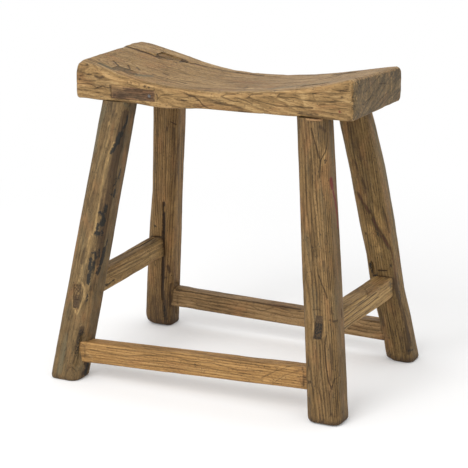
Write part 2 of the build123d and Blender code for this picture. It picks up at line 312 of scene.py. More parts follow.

# %% [markdown]
# ## Marks of use
# Cracks, dents, dirt and stains are strokes that lie on a timber. A row of the table gives the kind
# of mark, how strong it is, half its width, how deep it is pressed in and, after the colon, the
# points of its line, in millimetres. A split is a crack, worn and pale wood is rubbed bare, grey
# wood has weathered, soil and soot are dirt, and rust is a red stain. Each was read off the
# photograph by asking what made it. A painted image could not be pressed in.

# %% Strokes on each timber
# The raised worn line beside the gouge in the back right leg is rubbed wood and also a painted
# highlight on the raised edge.
# The soil and soot strokes low on the front left leg darken the notch where the front stretcher
# butts against it.
# The worn line along the top of the plank's front edge is rubbed wood and also a painted highlight,
# where the rounded arris catches the light.
STROKE_TABLE = """
seat_plank
soil .95 5.04 1: -171 52 502, -165 73 496, -146 74 492, -129 68 493
soot .7 1.68 1.2: -174 44 502, -163 39 500
soot .6 1.68 .8: -138 45 494, -130 57 493
split .6 1.16 .8: -29 79 478, 8 73 477, 43 67 478
soil .5 3.15 0: -220 77 514, -213 82 513
split .95 1.39 1: -199 -48 505, -181 -63 500
split .8 1.27 .6: -174 -45 499, -162 -60 496
split .7 1.27 .5: -161 -39 497, -150 -49 494
worn 1.3 2.73 0: -178 -65 495, -163 -65 493, -141 -72 491
split .95 1.27 .8: -181 -64 500, -167 -65 496, -156 -65 493, -140 -77 491
grey 1 4.62 0: -205 -81 505, -188 -85 501, -175 -86 498
soil .6 2.1 .5: -205 -81 505, -188 -85 501, -175 -86 498
grey 1.1 5.04 0: -138 -79 490, -130 -72 489, -122 -63 488
soil .9 1.89 .4: -98 -54 484, -81 -53 481, -60 -60 479
soil .8 2.52 .4: -120 -28 488, -108 -32 486
soil .55 3.15 .3: -130 8 491, -124 10 490
soil .8 1.89 .3: -33 -29 478, -24 -31 478
soil .8 1.89 .3: -15 -15 478, -3 -11 478
soil .6 1.68 .2: -77 -17 481, -49 -20 479, -33 -18 478
soil .5 1.68 .2: -110 -3 487, -90 1 484
soil .8 1.89 .3: 33 -46 479, 41 -49 480
soot .8 1.68 .4: 141 -86 492, 149 -85 493
soil .7 1.68 .3: 45 29 479, 53 34 479
soot .6 1.68 .3: 182 -74 499, 188 -70 501
soil .9 1.89 .4: 137 71 489, 155 48 492, 153 74 491
soil .5 5.04 0: 137 9 490, 156 26 493, 158 92 492, 178 96 496
grey .7 10.5 0: 95 -77 485, 112 -68 487, 132 -56 490, 172 -53 497
soil .5 1.68 0: -45 -79 478, -19 -79 478, 11 -79 478
soil .5 1.47 0: 25 -8 478, 47 -11 480, 75 -5 482
worn 1.1 2.6 0: -201 -104 499, -179 -105 490, -164 -104 486, -146 -105 483, -120 -104 481, -90 -103
  479, -67 -103 476, -44 -103 474, -3 -104 473, 40 -104 475, 74 -104 477, 115 -104 484, 156 -104
  490, 207 -103 503, 234 -100 509
soil .95 1.09 .6: -142 -105 482
soil .95 1.09 .6: -135 -105 482
soil .95 1.09 .6: -111 -104 478
soil .95 1.09 .6: -104 -104 477
soil .95 .87 .4: -121 -104 480
split .64 .55 .8: -236 -102 474, -221 -105 475, -208 -104 475, -201 -105 472
soil .75 2.6 .5: -201 -105 490, -193 -105 486, -186 -104 488
soil .6 .7 .3: -228 -105 487, -219 -104 491, -208 -105 491
soil .6 .7 .3: -230 -104 481, -216 -105 480, -201 -105 481
soil .6 .8 .3: -197 -105 470, -186 -105 474, -177 -105 471
soil .5 1.6 0: -222 -105 465, -203 -105 461
soil .85 2.2 0: -173 -105 475, -172 -105 465, -171 -104 456
soil .6 1.8 0: -173 -104 453, -147 -103 452, -121 -103 452, -96 -102 455
soil .7 1.6 0: -91 -104 470, -88 -105 463, -91 -105 457
split .52 .5 .6: -89 -105 459, -84 -105 465, -75 -105 468, -61 -105 469
split .52 .5 .6: -56 -105 466, -38 -105 466, -26 -105 469
split .71 .75 1: -41 -104 473, -32 -104 470, -23 -105 468, -15 -104 463, -10 -104 457, -3 -104 453,
  9 -99 450
split .6 .59 .7: 45 -103 477, 30 -103 476, 22 -104 472, 30 -105 470, 42 -104 467, 56 -104 466
split .68 .65 .8: 90 -103 481, 73 -103 479, 68 -104 475, 79 -105 471, 96 -105 468, 116 -105 465, 137
  -105 466, 153 -105 466, 173 -105 466
split .68 .59 .8: 128 -104 485, 119 -104 483, 116 -105 479, 127 -105 478, 143 -105 480, 156 -104
  477, 177 -105 477, 201 -105 478, 237 -102 481
split .45 .5 .5: 147 -105 485, 161 -105 486, 185 -105 490, 217 -105 491, 236 -102 493
split .45 .5 .5: 185 -105 472, 209 -104 474, 237 -101 474
split .45 .5 .5: 188 -104 484, 214 -105 484, 236 -102 486
split .45 .5 .5: 202 -104 466, 225 -104 469, 237 -101 468
soil .7 1.4 .4: 153 -104 459, 166 -105 459, 182 -104 457
split .45 .5 .5: -86 -102 451, -60 -101 451, -32 -104 453
split .45 .5 .5: 12 -105 462, 34 -105 459, 61 -105 459
soil .6 .8 .3: 47 -105 472, 64 -105 469, 74 -104 465
soil .8 1.2 .3: 220 -105 486
rust .8 1 .4: 217 -105 464
worn 1.2 .8 -.2: 76 -105 459
worn 1.2 .8 -.2: 96 -104 458
worn .9 .8 -.2: 117 -104 460
soil .75 1.6 0: 237 -90 508, 239 -96 494, 239 -94 470
soil .7 1 .3: 238 -86 506, 239 -76 494, 239 -80 482
soil .7 .8 .4: 239 -1 492, 239 29 488
soil .5 .9 .3: 239 -60 488, 238 -30 496, 237 6 503
soil .5 .9 .3: 239 -70 470, 239 -38 476, 239 -5 486
soil .5 .9 .3: 238 -15 461, 239 9 468, 239 39 473
split 1 2 1.2: -233 47 514, -213 47 511, -193 46 507, -174 44 502, -150 52 496, -126 66 492
split 1 1.7 .8: -126 66 492, -105 74 488, -80 79 483, -53 80 480, -29 79 478, 8 80 477
soil .9 6 0: -168 55 502, -150 62 495, -135 64 492
soil .33 20 0: -228 -105 482, -190 -105 472
pale 1.3 2.2 0: -178 -63 495, -163 -63 493, -141 -70 491
soil .7 1.6 .3: 60 20 481, 78 19 483
soil .7 1.6 .3: 88 -20 484, 104 -22 486
soil .7 1.6 .3: 10 40 477, 28 38 478
soil .6 1.6 .3: 120 20 488, 140 18 491
soil .6 1.6 .3: -60 30 480, -42 28 479
soil .6 1.6 .3: 170 30 496, 186 28 499
worn .5 9 0: -205 80 509, -140 90 495, -90 97 485, -60 98 481
leg_front_left
soot 1 2.25 0: -147 -97 427, -148 -98 418, -151 -104 409
soot 1 3.6 0: -153 -107 401, -156 -111 394, -157 -113 386
soot 1 2.4 0: -160 -115 383, -163 -117 375, -166 -118 371
soil .7 3.75 0: -150 -103 425, -153 -107 411
soil .85 5.62 .4: -154 -109 381, -158 -115 362, -165 -122 337
soil .6 4.38 0: -167 -124 331, -174 -129 308, -179 -135 273
soot 1 1.8 0: -158 -104 342, -159 -106 334, -160 -109 327
soot .9 1.5 0: -160 -114 331, -160 -114 323, -162 -119 317
soot 1 2.55 0: -162 -115 308, -163 -118 300
soot .7 1.35 0: -166 -125 305, -163 -120 302
soot 1 2.55 0: -170 -130 286, -172 -132 276
soot 1 2.25 0: -179 -135 275, -174 -134 272, -173 -134 267
soot 1 3.9 0: -173 -134 263, -176 -137 256
soot .9 2.1 0: -181 -138 257, -182 -140 247
soot .95 3.3 0: -184 -141 242, -179 -140 242
soot .8 1.5 0: -174 -136 247, -175 -138 239
soot 1 1.95 0: -172 -126 228, -173 -128 221
soot 1 4.2 0: -174 -132 215, -176 -135 204, -177 -138 193
soot .9 3.6 0: -179 -141 185, -180 -145 177
soot .8 1.8 0: -178 -142 215, -178 -142 204
soot 1 1.8 0: -189 -147 210, -183 -146 211, -182 -146 202
soot 1 3 0: -190 -149 201, -191 -151 189, -189 -151 180
soot 1 2.4 0: -185 -148 196, -186 -150 185
soot 1 3 0: -191 -153 175, -192 -155 163
soot .8 1.5 0: -192 -158 142, -193 -159 133
soil .6 3.25 0: -183 -149 170, -186 -153 150
worn 1.2 2.55 0: -162 -115 386, -167 -117 375, -172 -121 357, -176 -125 333, -179 -130 303, -184
  -136 271, -187 -140 247
worn 1.2 3.3 0: -191 -141 243, -194 -144 229, -198 -147 208, -202 -151 186, -205 -154 170
worn .8 1.95 0: -160 -105 447, -161 -107 434
worn .7 3 0: -172 -110 418, -172 -114 396, -176 -117 380
worn 1.7 1.6 0: -208 -155 165, -199 -157 155, -197 -159 140, -201 -162 127, -209 -165 110, -217 -161
  122, -219 -160 136, -217 -155 150, -208 -155 165
soil .9 2.75 .6: -217 -142 147, -206 -158 145
soil .95 2.75 .8: -217 -149 132, -217 -149 125
soil .7 1.25 .3: -204 -156 159, -201 -158 148, -205 -159 139
soil 1 2.75 .8: -196 -166 80, -199 -169 67, -202 -172 54
soot .8 1.95 .6: -202 -171 62, -203 -173 51, -205 -175 41
soil .9 5 .5: -199 -157 26, -200 -151 15, -201 -164 9
soot .6 3 .3: -200 -150 18, -201 -155 9
grey .8 6 0: -185 -105 440, -191 -109 412, -197 -116 372
grey .7 4 0: -149 -101 449, -146 -94 440
soil .5 4.38 0: -192 -130 306, -198 -134 284
soil .45 5 0: -200 -146 214, -206 -150 194
grey .8 5 0: -227 -171 74, -232 -177 41, -234 -182 13
soil .5 2.5 0: -221 -166 102, -224 -172 66
grey .5 4 0: -165 -118 285, -174 -134 222
soil .7 1.5 0: -160 -104 448, -145 -89 442
worn 1 1.3 0: -161 -112 330, -163 -115 318
worn 1 1.6 0: -164 -121 302, -166 -124 292
worn .5 7 0: -196 -141 243, -204 -148 205, -210 -155 165
worn .35 6 0: -180 -118 392, -186 -126 340
soil .8 7 0: -150 -100 432, -163 -118 345, -174 -131 260, -182 -143 195
soot .7 4.5 0: -199 -150 24, -201 -156 8
soot .52 4.4 0: -200 -166 82, -205 -166 62, -211 -168 44
soil .7 5 0: -198 -168 88, -205 -172 60, -210 -176 30
leg_back_left
split 1 2.1 2.2: -189 96 239, -190 98 225
split 1 1.66 2: -189 97 230, -192 101 204, -196 106 177, -200 111 141, -205 118 102, -209 123 72,
  -210 126 53
soil .8 3.25 .4: -195 104 185, -202 114 127, -209 124 63
soil 1 4 .8: -208 126 53, -208 130 33, -208 134 15
soil .8 3 .5: -194 117 120, -192 121 108
soil .9 3.25 .8: -194 128 84, -197 130 65, -199 136 40
split .9 .84 .6: -158 71 388, -153 76 384
soil .7 1.5 .3: -168 72 379, -168 73 374
soil .5 3.75 0: -157 74 378, -162 87 320, -171 103 245
split .5 .7 .4: -171 73 373, -178 84 310, -184 95 245
split .5 .7 .3: -182 67 408, -193 83 318, -207 100 215
soot 1 .9 .8: -210 103 194
soot .9 1 .8: -219 107 172, -209 106 175, -198 106 175
soot .9 1.6 2.5: -192 141 83, -192 154 77
soil .9 2 2.2: -195 137 59, -197 148 41, -199 156 23
soil .7 1.75 .3: -201 119 98, -198 120 97
soil .8 3 0: -241 134 6, -220 134 5, -204 141 7
worn .7 1.2 0: -181 101 218, -186 109 170, -192 116 128
worn .6 2 0: -152 89 372, -165 111 279, -178 126 185
soil .4 3.75 0: -175 65 415, -158 66 413
soil .8 4 0: -207 122 70, -208 132 10
soot 1.3 2.1 .8: -189 96 236, -192 101 204, -195 105 182
soot .9 1.6 .6: -195 105 182, -200 111 141, -205 118 102, -209 123 66
soot .6 2.2 1.2: -208 124 60, -209 131 30, -208 134 12
rust .28 3 0: -202 124 60, -203 133 14
leg_front_right
split .9 .66 .6: 173 -107 435, 178 -109 422, 184 -112 408, 189 -114 395
split .9 .66 .6: 195 -96 429, 197 -102 412, 196 -108 401, 192 -114 391, 191 -117 376, 192 -119 366
worn 1.1 3.22 0: 196 -108 404, 195 -114 385
worn .9 1.84 0: 185 -109 420, 189 -111 405
soil .7 2.8 0: 186 -105 439, 193 -101 433
soil .5 2 0: 173 -105 442, 181 -108 428
soot .9 .9 .6: 198 -110 389
soil .7 1.4 0: 194 -117 374, 200 -114 373
grey .9 2.6 0: 196 -83 428, 202 -90 387, 205 -94 361
rust 1.4 4.84 0: 206 -105 359, 207 -105 350
rust 1.3 2.55 0: 208 -104 342, 210 -100 329, 213 -100 310
rust 1.1 1.7 0: 213 -100 310, 216 -103 287
soot .8 .8 0: 216 -102 285, 218 -103 274
worn 1 1.15 0: 189 -117 379, 193 -123 347, 196 -129 311, 199 -136 274, 202 -142 242
worn .7 1.61 0: 161 -118 327, 170 -131 254, 179 -143 180, 189 -157 106
split .6 .55 .4: 164 -110 418, 170 -119 367, 177 -130 309
split .6 .55 .4: 175 -115 390, 182 -125 331, 190 -139 258, 195 -145 221
split .5 .55 .4: 160 -112 403, 170 -125 330, 179 -141 242
split .85 .66 .6: 205 -145 221, 210 -147 210, 216 -149 200, 220 -150 191
soil .55 3.2 0: 210 -141 243, 218 -143 224, 222 -145 205
soil .8 2.4 .4: 229 -150 176, 229 -152 168
soot .8 1.1 .3: 233 -125 166, 234 -127 157
worn 1.5 1.3 0: 228 -147 182, 230 -148 169, 233 -147 158
worn 1.5 1.3 0: 224 -146 197, 227 -144 191
soil .8 1.8 .4: 227 -154 158, 232 -151 155, 235 -142 155
worn 1.5 1.3 0: 202 -158 149, 203 -161 134, 208 -162 126, 214 -162 128, 220 -161 134, 220 -157 155
split .5 .66 .5: 200 -154 170, 206 -154 172, 212 -154 170
split .9 .72 .6: 224 -160 134, 223 -163 119, 226 -167 99, 230 -170 80, 234 -172 67, 239 -173 57, 240
  -171 63, 241 -168 71
split .8 .66 .5: 241 -168 71, 245 -160 74, 245 -153 84, 242 -147 103
soil .6 2.4 0: 231 -162 121, 236 -166 92, 237 -171 70
worn .8 1.38 0: 238 -157 113, 241 -161 91
split .6 .55 .4: 209 -165 111, 213 -170 82, 219 -175 53, 226 -178 36
split .5 .55 .4: 215 -163 120, 219 -168 90, 225 -174 61
split .6 .55 .4: 236 -175 51, 240 -178 33, 242 -181 17
split .6 .55 .4: 247 -168 52, 249 -173 33, 250 -176 20
soil .95 1.8 1.6: 198 -170 60, 204 -173 62
worn 1.2 .92 0: 246 -160 72
soil .7 2.4 .3: 242 -180 20, 249 -178 16, 254 -163 21
soil .5 3 0: 212 -182 9, 233 -183 7, 252 -177 11
soil .8 1.2 0: 153 -104 446, 173 -105 444, 193 -84 445
leg_back_right
soil .72 3.4 2: 175 85 295, 181 87 283, 189 89 271, 196 91 259
soil .74 4.2 2.4: 196 91 259, 203 94 243, 211 97 228, 220 102 213, 225 108 203
worn .6 3.2 -.5: 204 92 253, 212 95 237, 219 101 221, 225 108 207
soot .9 1.17 .5: 203 95 236, 207 97 225
soil 1 1.45 .8: 173 76 348, 176 77 338
soil .9 1.3 .6: 183 79 325, 186 81 313, 189 83 307
split .6 .6 .4: 201 82 311, 205 85 296
soot 1 1.95 3.2: 191 108 174, 192 109 167
soil 1 2.61 3: 193 109 163, 197 110 155
soot 1 1.04 .8: 205 109 164, 217 108 165
soot 1 1.17 .8: 225 110 175
soil .7 1.3 .3: 198 101 205, 205 101 207
soil .8 1.3 .3: 185 97 227
worn .75 7.5 0: 191 95 238, 197 99 217, 206 102 201
soil .55 5.8 0: 166 65 414, 172 69 386, 181 74 357
grey .9 3.5 0: 195 91 409, 207 105 350, 217 119 282, 226 129 213
soil .7 1.01 .3: 215 93 274, 220 100 250, 222 104 232
soil .5 3.62 0: 225 109 201, 229 114 175, 231 119 140
soot .85 1.82 .6: 232 126 158, 234 129 137, 237 129 115
soil .8 2.61 .6: 237 129 115, 242 132 91, 248 138 58, 252 142 30
soot .8 1.82 .8: 250 137 23, 254 146 23
soil .9 1.89 1.5: 204 138 40, 218 130 43
soil .8 2.61 2.4: 212 132 36, 212 135 21
soil .6 3.77 0: 214 135 12, 232 135 7, 249 137 4
worn .6 1.4 0: 236 146 121, 245 149 76, 252 158 35
split .6 .5 .4: 224 119 104, 231 125 69, 242 133 20
split .6 .5 .4: 214 120 97, 222 127 58, 229 133 19
soil .5 3.62 0: 203 122 92, 209 126 65
soot 1.6 4.6 1.2: 189 107 172, 191 108 164
soot 1.5 3.4 1: 190 109 164, 193 109 158, 197 110 154
worn .75 6 0: 198 90 280, 207 93 262, 214 97 240
worn .45 4 0: 184 84 300, 193 88 286
rust .36 3 0: 175 85 295, 189 89 271, 196 91 259, 211 97 228, 225 108 203
rust .34 3 0: 225 109 201, 229 114 175, 231 119 150
soil .55 3.2 0: 225 109 201, 229 114 175, 231 119 150
rust .34 1.6 0: 173 76 348, 176 77 338, 183 79 325, 189 83 307
soil .5 5 0: 170 74 350, 186 86 300
soil .9 4 0: 193 109 160, 197 110 148
soil .7 5 0: 228 118 150, 240 130 90, 250 137 20
stretcher_front
split .52 .78 .6: -185 -164 52, -153 -163 51, -122 -163 51, -71 -163 60, -28 -163 63, -10 -162 60,
  33 -162 63, 76 -162 58, 119 -162 63
split .45 .72 .5: -155 -163 60, -76 -163 65, -23 -162 69, 39 -162 70, 81 -162 71, 132 -162 71
split .45 .72 .5: -122 -163 44, -77 -163 49, -32 -163 55, 12 -162 55, 56 -162 52, 90 -162 49, 119
  -162 48
split .39 .65 .4: -178 -164 34, -131 -163 37, -77 -163 41, -23 -163 44, 21 -162 45
split .49 .72 .4: 119 -162 52, 141 -161 66, 165 -160 77, 181 -148 78
split .35 .65 .4: 136 -161 44, 157 -161 62, 187 -161 76
split .35 .65 .3: -5 -162 70, 46 -159 73, 98 -161 74, 146 -155 76
soil .8 2 .3: 186 -160 78, 190 -161 63, 187 -161 48
soil .6 1.6 0: 181 -161 63, 186 -161 52
soil .6 1.6 .3: -202 -157 58, -192 -161 64
worn .9 2.2 0: -194 -164 47, -183 -164 40
worn .7 2.6 0: -77 -163 45, -23 -163 49, 30 -162 49, 81 -162 46
worn .7 2.6 0: 141 -161 53, 166 -161 62
stretcher_back
split .9 1.02 .6: -187 137 71, -141 138 71, -102 137 70, -63 138 69, -24 138 69, 14 138 68, 51 139
  67
soil .6 2 0: -193 160 72, -172 159 72, -148 152 71
split .6 .6 .4: -43 137 62, -20 137 55, 5 137 66, 33 137 62
split .5 .6 .3: -171 136 63, -131 137 60, -82 137 58
split .5 .6 .3: -151 137 52, -91 137 51, -33 137 48
soil .7 1.6 0: -184 136 68, -185 136 46
split .7 .66 .4: 147 138 65, 171 138 64, 191 138 64
split .6 .66 .4: 144 137 52, 166 138 50, 195 138 49
soil .7 1.6 0: 184 156 65, 196 138 51
stretcher_left
soil 1 1.1 .8: -213 25 170, -210 48 171, -211 84 172, -212 97 173
split .8 .6 .6: -212 -11 168, -210 22 170
soot .9 1.2 1.4: -200 -88 140, -200 -74 138, -200 -61 141
soil .6 2.2 .4: -200 -93 143, -200 -81 136
soil .5 2.6 0: -211 -46 167, -206 -15 168
split .6 .55 .4: -200 -80 160, -199 -34 160, -199 20 158, -199 59 163
split .6 .55 .4: -200 -74 148, -199 -24 147, -199 27 148, -199 58 151
soil .6 1.4 0: -211 82 172, -199 62 159, -199 62 141
stretcher_right
soil 1 1.17 .8: 221 68 154, 227 60 148, 227 53 140
soil .9 1.17 .7: 210 32 154, 225 5 154, 226 -5 148
split .95 .65 .7: 226 -99 145, 226 -64 146, 226 -22 147, 227 39 148
split .9 .6 .6: 226 -98 137, 226 -51 138, 227 4 137, 227 49 138
split .8 .6 .6: 226 -92 127, 226 -38 127, 227 18 127
split .6 .5 .5: 226 -97 152, 226 -56 152, 226 -14 150
split .6 .5 .4: 225 -87 122, 225 -31 121, 226 28 121
soil .85 2.6 0: 208 -60 156, 226 -106 144
grey .9 2.6 0: 219 100 153, 227 103 147, 227 108 130
soil .7 2.34 0: 214 134 147, 227 113 130
worn .8 2.5 0: 213 -39 155, 215 -1 155
soil .5 2.08 0: 196 11 154, 201 44 154
edge_patch
soil .7 5 0: -160 -105 462, -150 -105 457
soil .55 4.5 0: -140 -105 470, -128 -105 466
soil .6 4 0: -106 -105 468, -103 -105 460
worn .6 3 0: -170 -105 478, -172 -105 455
worn .7 2.5 0: -93 -105 476, -92 -105 454
worn .8 3 0: -168 -105 475, -140 -105 476
soil .7 3 0: -120 -105 475, -98 -105 474
"""


def numbers_in(text):
    return tuple(float(word) for word in text.split())


def strokes_in(table):
    """Strokes by timber. An indented row goes on from the one above. A bare word is a timber."""
    found = {}
    for row in table.replace("\n  ", " ").strip().splitlines():
        head, _, line = row.partition(": ")
        mark, *sizes = head.split()
        if sizes:
            points = [numbers_in(point) for point in line.split(",")]
            found[timber].append((mark, *map(float, sizes), points))
        else:
            timber, found[mark] = mark, []
    return found


STROKES = strokes_in(STROKE_TABLE)
print("strokes:", {timber: len(strokes) for timber, strokes in STROKES.items()})

# %% [markdown]
# Some wear is a change of form: a foot trodden round, a corner rubbed away, an edge that sags.
# These strokes only move the wood, with a negative depth where it stands proud.

# %% Worn forms
FORMS = {
    "seat_plank": [
        (9, 2.6, ((-237, -104, 512),)),
        (9, 1.6, ((-237, 104, 516), (-237, 92, 516))),
        (5, 1.2, ((237, -104, 512),)),
    ],
    "leg_back_left": [
        (11, 5.2, ((-252, 138, 0), (-251, 146, 0))),
        (9, 2.2, ((-240, 137, 0), (-215, 137, 0))),
    ],
    "leg_front_right": [
        (9, 1.6, ((210, -181, 0), (246, -181, 0))),
        (8, 1.8, ((253, -170, 0), (253, -150, 0))),
    ],
    "leg_back_right": [
        (9, 3.8, ((210, 139, 0), (213, 138, 0))),
        (9, 1.8, ((206, 134, 44), (208, 137, 14))),
        (16, 1.3, ((238, 124, 165), (245, 134, 112))),
        (5, 2.6, ((190, 107, 178), (194, 108, 158))),
    ],
    "stretcher_back": [
        (12, -2.4, ((-198, 150, 72), (-176, 150, 71))),
        (9, -0.9, ((-160, 150, 71), (-120, 150, 71))),
    ],
    "leg_front_left": [
        (12, 14, ((-202, -177, 32), (-197, -173, 50), (-193, -171, 66))),
    ],
}
print("forms:", {timber: len(forms) for timber, forms in FORMS.items()})

# %% [markdown]
# ## Meshes with what the finish needs
# The finish has to know, at each point, where it lies in the tree the timber was cut from, and what
# has happened to it. These are stored on the points of the mesh as attributes, which stay with the
# piece when it moves. A painted image would need a layout of its own and would blur in the grain.

# %% Turn points and faces into a piece
MARKS = ("soil", "worn", "pale", "grey", "soot", "rust")
THIN_MARKS, THIN_HALF, THIN_REACH = ("soil", "soot"), 1.15, 3 * MM
SHARP_ANGLE = math.radians(50)
SOFT_EDGE = 1.6 * MM
DENT_ROOM = 0.5
STEEP = 0.7
END_GRAIN = (0.55, 0.9)


def read_mesh(mesh, what="co"):
    """Places of the points of a mesh, or their normals."""
    numbers = np.empty(len(mesh.vertices) * 3, np.float32)
    if what == "co":
        mesh.vertices.foreach_get("co", numbers)
    else:
        mesh.vertex_normals.foreach_get("vector", numbers)
    return numbers.reshape(-1, 3).astype(float)


def move_mesh(mesh, push):
    """Moves each point along its normal, by metres."""
    moved = read_mesh(mesh) + read_mesh(mesh, "normal") * push[:, None]
    mesh.vertices.foreach_set("co", moved.astype(np.float32).ravel())
    mesh.update()


def mesh_of(name, points, faces):
    """A new mesh from points and faces."""
    mesh = bpy.data.meshes.new(name)
    mesh.from_pydata(points.tolist(), [], faces)
    mesh.update()
    return mesh


def store(mesh, name, values):
    """Keeps one value, or one vector, for each point of a mesh."""
    kind, field = ("FLOAT_VECTOR", "vector") if values.ndim == 2 else ("FLOAT", "value")
    attribute = mesh.attributes.new(name, kind, "POINT")
    attribute.data.foreach_set(field, values.astype(np.float32).ravel())


def press(mesh, timber):
    """Presses the strokes and forms of a timber into its mesh."""
    points = read_mesh(mesh)
    push = np.zeros(len(points))
    for _, _, half_width, depth, line in STROKES.get(timber, []):
        if depth:
            push -= depth * hump(line_distance(points, line), 0, (half_width + DENT_ROOM) * MM)
    for half_width, depth, line in FORMS.get(timber, []):
        push -= depth * hump(line_distance(points, line), 0, half_width * MM)
    move_mesh(mesh, push * MM)


def grain_at(points, along, pith):
    """Place in the tree: distance along it, and the two distances from its pith, in millimetres."""
    along = np.array(along) / np.linalg.norm(along)
    across = np.cross(along, (0, 0, 1) if abs(along[2]) < STEEP else (0, -1, 0))
    across /= np.linalg.norm(across)
    third = np.cross(along, across)
    place = np.stack([points @ along, points @ across, points @ third], 1)
    return place / MM - np.array((0, *pith))


def is_thin(stroke):
    """Whether a stroke is a line finer than the faces of the mesh, such as a crack."""
    name, _, half_width, _, line = stroke
    return name == "split" or (name in THIN_MARKS and half_width <= THIN_HALF and len(line) > 1)


def seam_field(points, normals, strokes):
    """The nearest thin line: place across it in half widths, nearness from 0 to 1, and strength."""
    best = np.full(len(points), np.inf)
    field = np.zeros((len(points), 3))
    for _, strength, half_width, _, line in strokes:
        away, side = line_distance(points, line, normals)
        away = away - half_width * MM
        nearness = 1 - np.clip(away / THIN_REACH, 0, 1)
        own = np.stack([side / (half_width * MM), nearness, np.full(len(points), strength)], 1)
        field = np.where((away < best)[:, None], own, field)
        best = np.minimum(best, away)
    return field


def mark_points(mesh, timber, along, pith, broad):
    """Stores the grain and every mark of a timber. Broad is a dict of fields over whole faces."""
    points = read_mesh(mesh)
    strokes = STROKES.get(timber, [])
    thin = [stroke for stroke in strokes if is_thin(stroke)]
    normals = read_mesh(mesh, "normal")
    fields = {name: np.zeros(len(points)) + broad.get(name, 0) for name in MARKS}
    for name, strength, half_width, _, line in (stroke for stroke in strokes if stroke not in thin):
        inside = (half_width * MM - line_distance(points, line)) / SOFT_EDGE
        fields[name] = np.maximum(fields[name], strength * np.clip((1 + inside) / 2, 0, 1))
    for name, field in fields.items():
        store(mesh, name, field)
    store(mesh, "seam", seam_field(points, normals, thin))
    along_unit = np.array(along) / np.linalg.norm(along)
    store(mesh, "end_grain", soft_step(*END_GRAIN, np.abs(normals @ along_unit)))
    store(mesh, "grain", grain_at(points, along, pith))


def add_piece(mesh, node, slot_name, finish_name=None):
    """Adds a mesh to the stool in place of its CAD node."""
    mesh.materials.clear()
    mesh.materials.append(finishes[finish_name or slot_name])
    mesh.polygons.foreach_set("use_smooth", np.ones(len(mesh.polygons), bool))
    mesh.set_sharp_from_angle(angle=SHARP_ANGLE)
    piece = bpy.data.objects.new(mesh.name, mesh)
    bpy.context.scene.collection.objects.link(piece)
    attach(piece, "root")
    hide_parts(node)
    return piece


print("marks kept on each point:", ", ".join(MARKS))

# %% [markdown]
# ## Shader sums
# A finish is worked out with sums on masks. Written as nodes by hand these would fill pages, so a
# small class lets Python's own signs add the Math nodes.

# %% One class for shader maths
class Wire:
    """An output socket. Sums of wires and numbers add Math nodes to its tree."""

    def __init__(self, socket):
        self.socket = socket

    def sum(self, operation, *values):
        tree = self.socket.id_data
        return make_node(tree, "ShaderNodeMath", {"operation": operation}, dict(enumerate(values)))

    def __add__(self, other):
        return self.sum("ADD", self, other)

    def __mul__(self, other):
        return self.sum("MULTIPLY", self, other)

    def __sub__(self, other):
        return self.sum("SUBTRACT", self, other)

    def __rsub__(self, other):
        return self.sum("SUBTRACT", other, self)

    def __truediv__(self, other):
        return self.sum("DIVIDE", self, other)

    def __rtruediv__(self, other):
        return self.sum("DIVIDE", other, self)

    __radd__ = __add__
    __rmul__ = __mul__


def make_node(tree, kind, settings=None, inputs=None, output=0):
    """Any node: its settings first, then the values or wires of its sockets."""
    node = tree.nodes.new(kind)
    for name, value in (settings or {}).items():
        setattr(node, name, value)
    for name, value in (inputs or {}).items():
        if isinstance(value, Wire):
            tree.links.new(value.socket, node.inputs[name])
        else:
            node.inputs[name].default_value = value
    return Wire(node.outputs[output]) if node.outputs else node


def weighed(shares, wires):
    """Sum of wires, each times its share."""
    first, *others = [wires[name] * share for name, share in shares.items()]
    return sum(others, first)


print("wires can be summed")

# %% [markdown]
# The patterns in the wood are noise stretched along the grain. They stand in one table, so that
# their sizes can be compared: fibres are thirty-five times as long as they are wide, and dirt
# follows them in ragged edges. A few short helpers cover the rest: an attribute, a soft threshold,
# a mix of colours.

# %% Patterns and helpers for a finish
PATTERNS = {  # size of the lumps in mm, along the grain and both ways across it; detail; roughness
    "rings": ((0.9, 1, 1), 4, 0.65),
    "fibre": ((44, 1.25, 1.25), 3, 0.62),
    "hair": ((15, 0.6, 0.6), 2, 0.7),
    "fuzz": ((4.5, 1.5, 1.5), 3, 0.7),
    "pores": ((11, 1.1, 1.1), 2, 0.65),
    "dashes": ((26, 1, 1), 3, 0.65),
    "dash_groups": ((50, 22, 22), 2, 0.5),
    "ruddy": ((55, 20, 20), 2, 0.5),
    "ragged": ((16, 2.6, 2.6), 3, 0.65),
    "cloud": ((60, 10, 10), 4, 0.65),
    "blots": ((3.2, 1.6, 1.6), 3, 0.7),
    "checks": ((95, 4.6, 4.6), 2, 0.5),
    "check_zones": ((60, 16, 16), 2, 0.5),
    "crack_width": ((7, 7, 7), 3, 0.6),
    "end_fan": ((1, 1, 1), 3, 0.65),
}
PLAIN_DETAIL, PLAIN_ROUGHNESS = 2, 0.5
NOISE_MIDDLE = 0.5
SPECULAR = 0.2
BUMP_DEPTH = 0.6 * MM


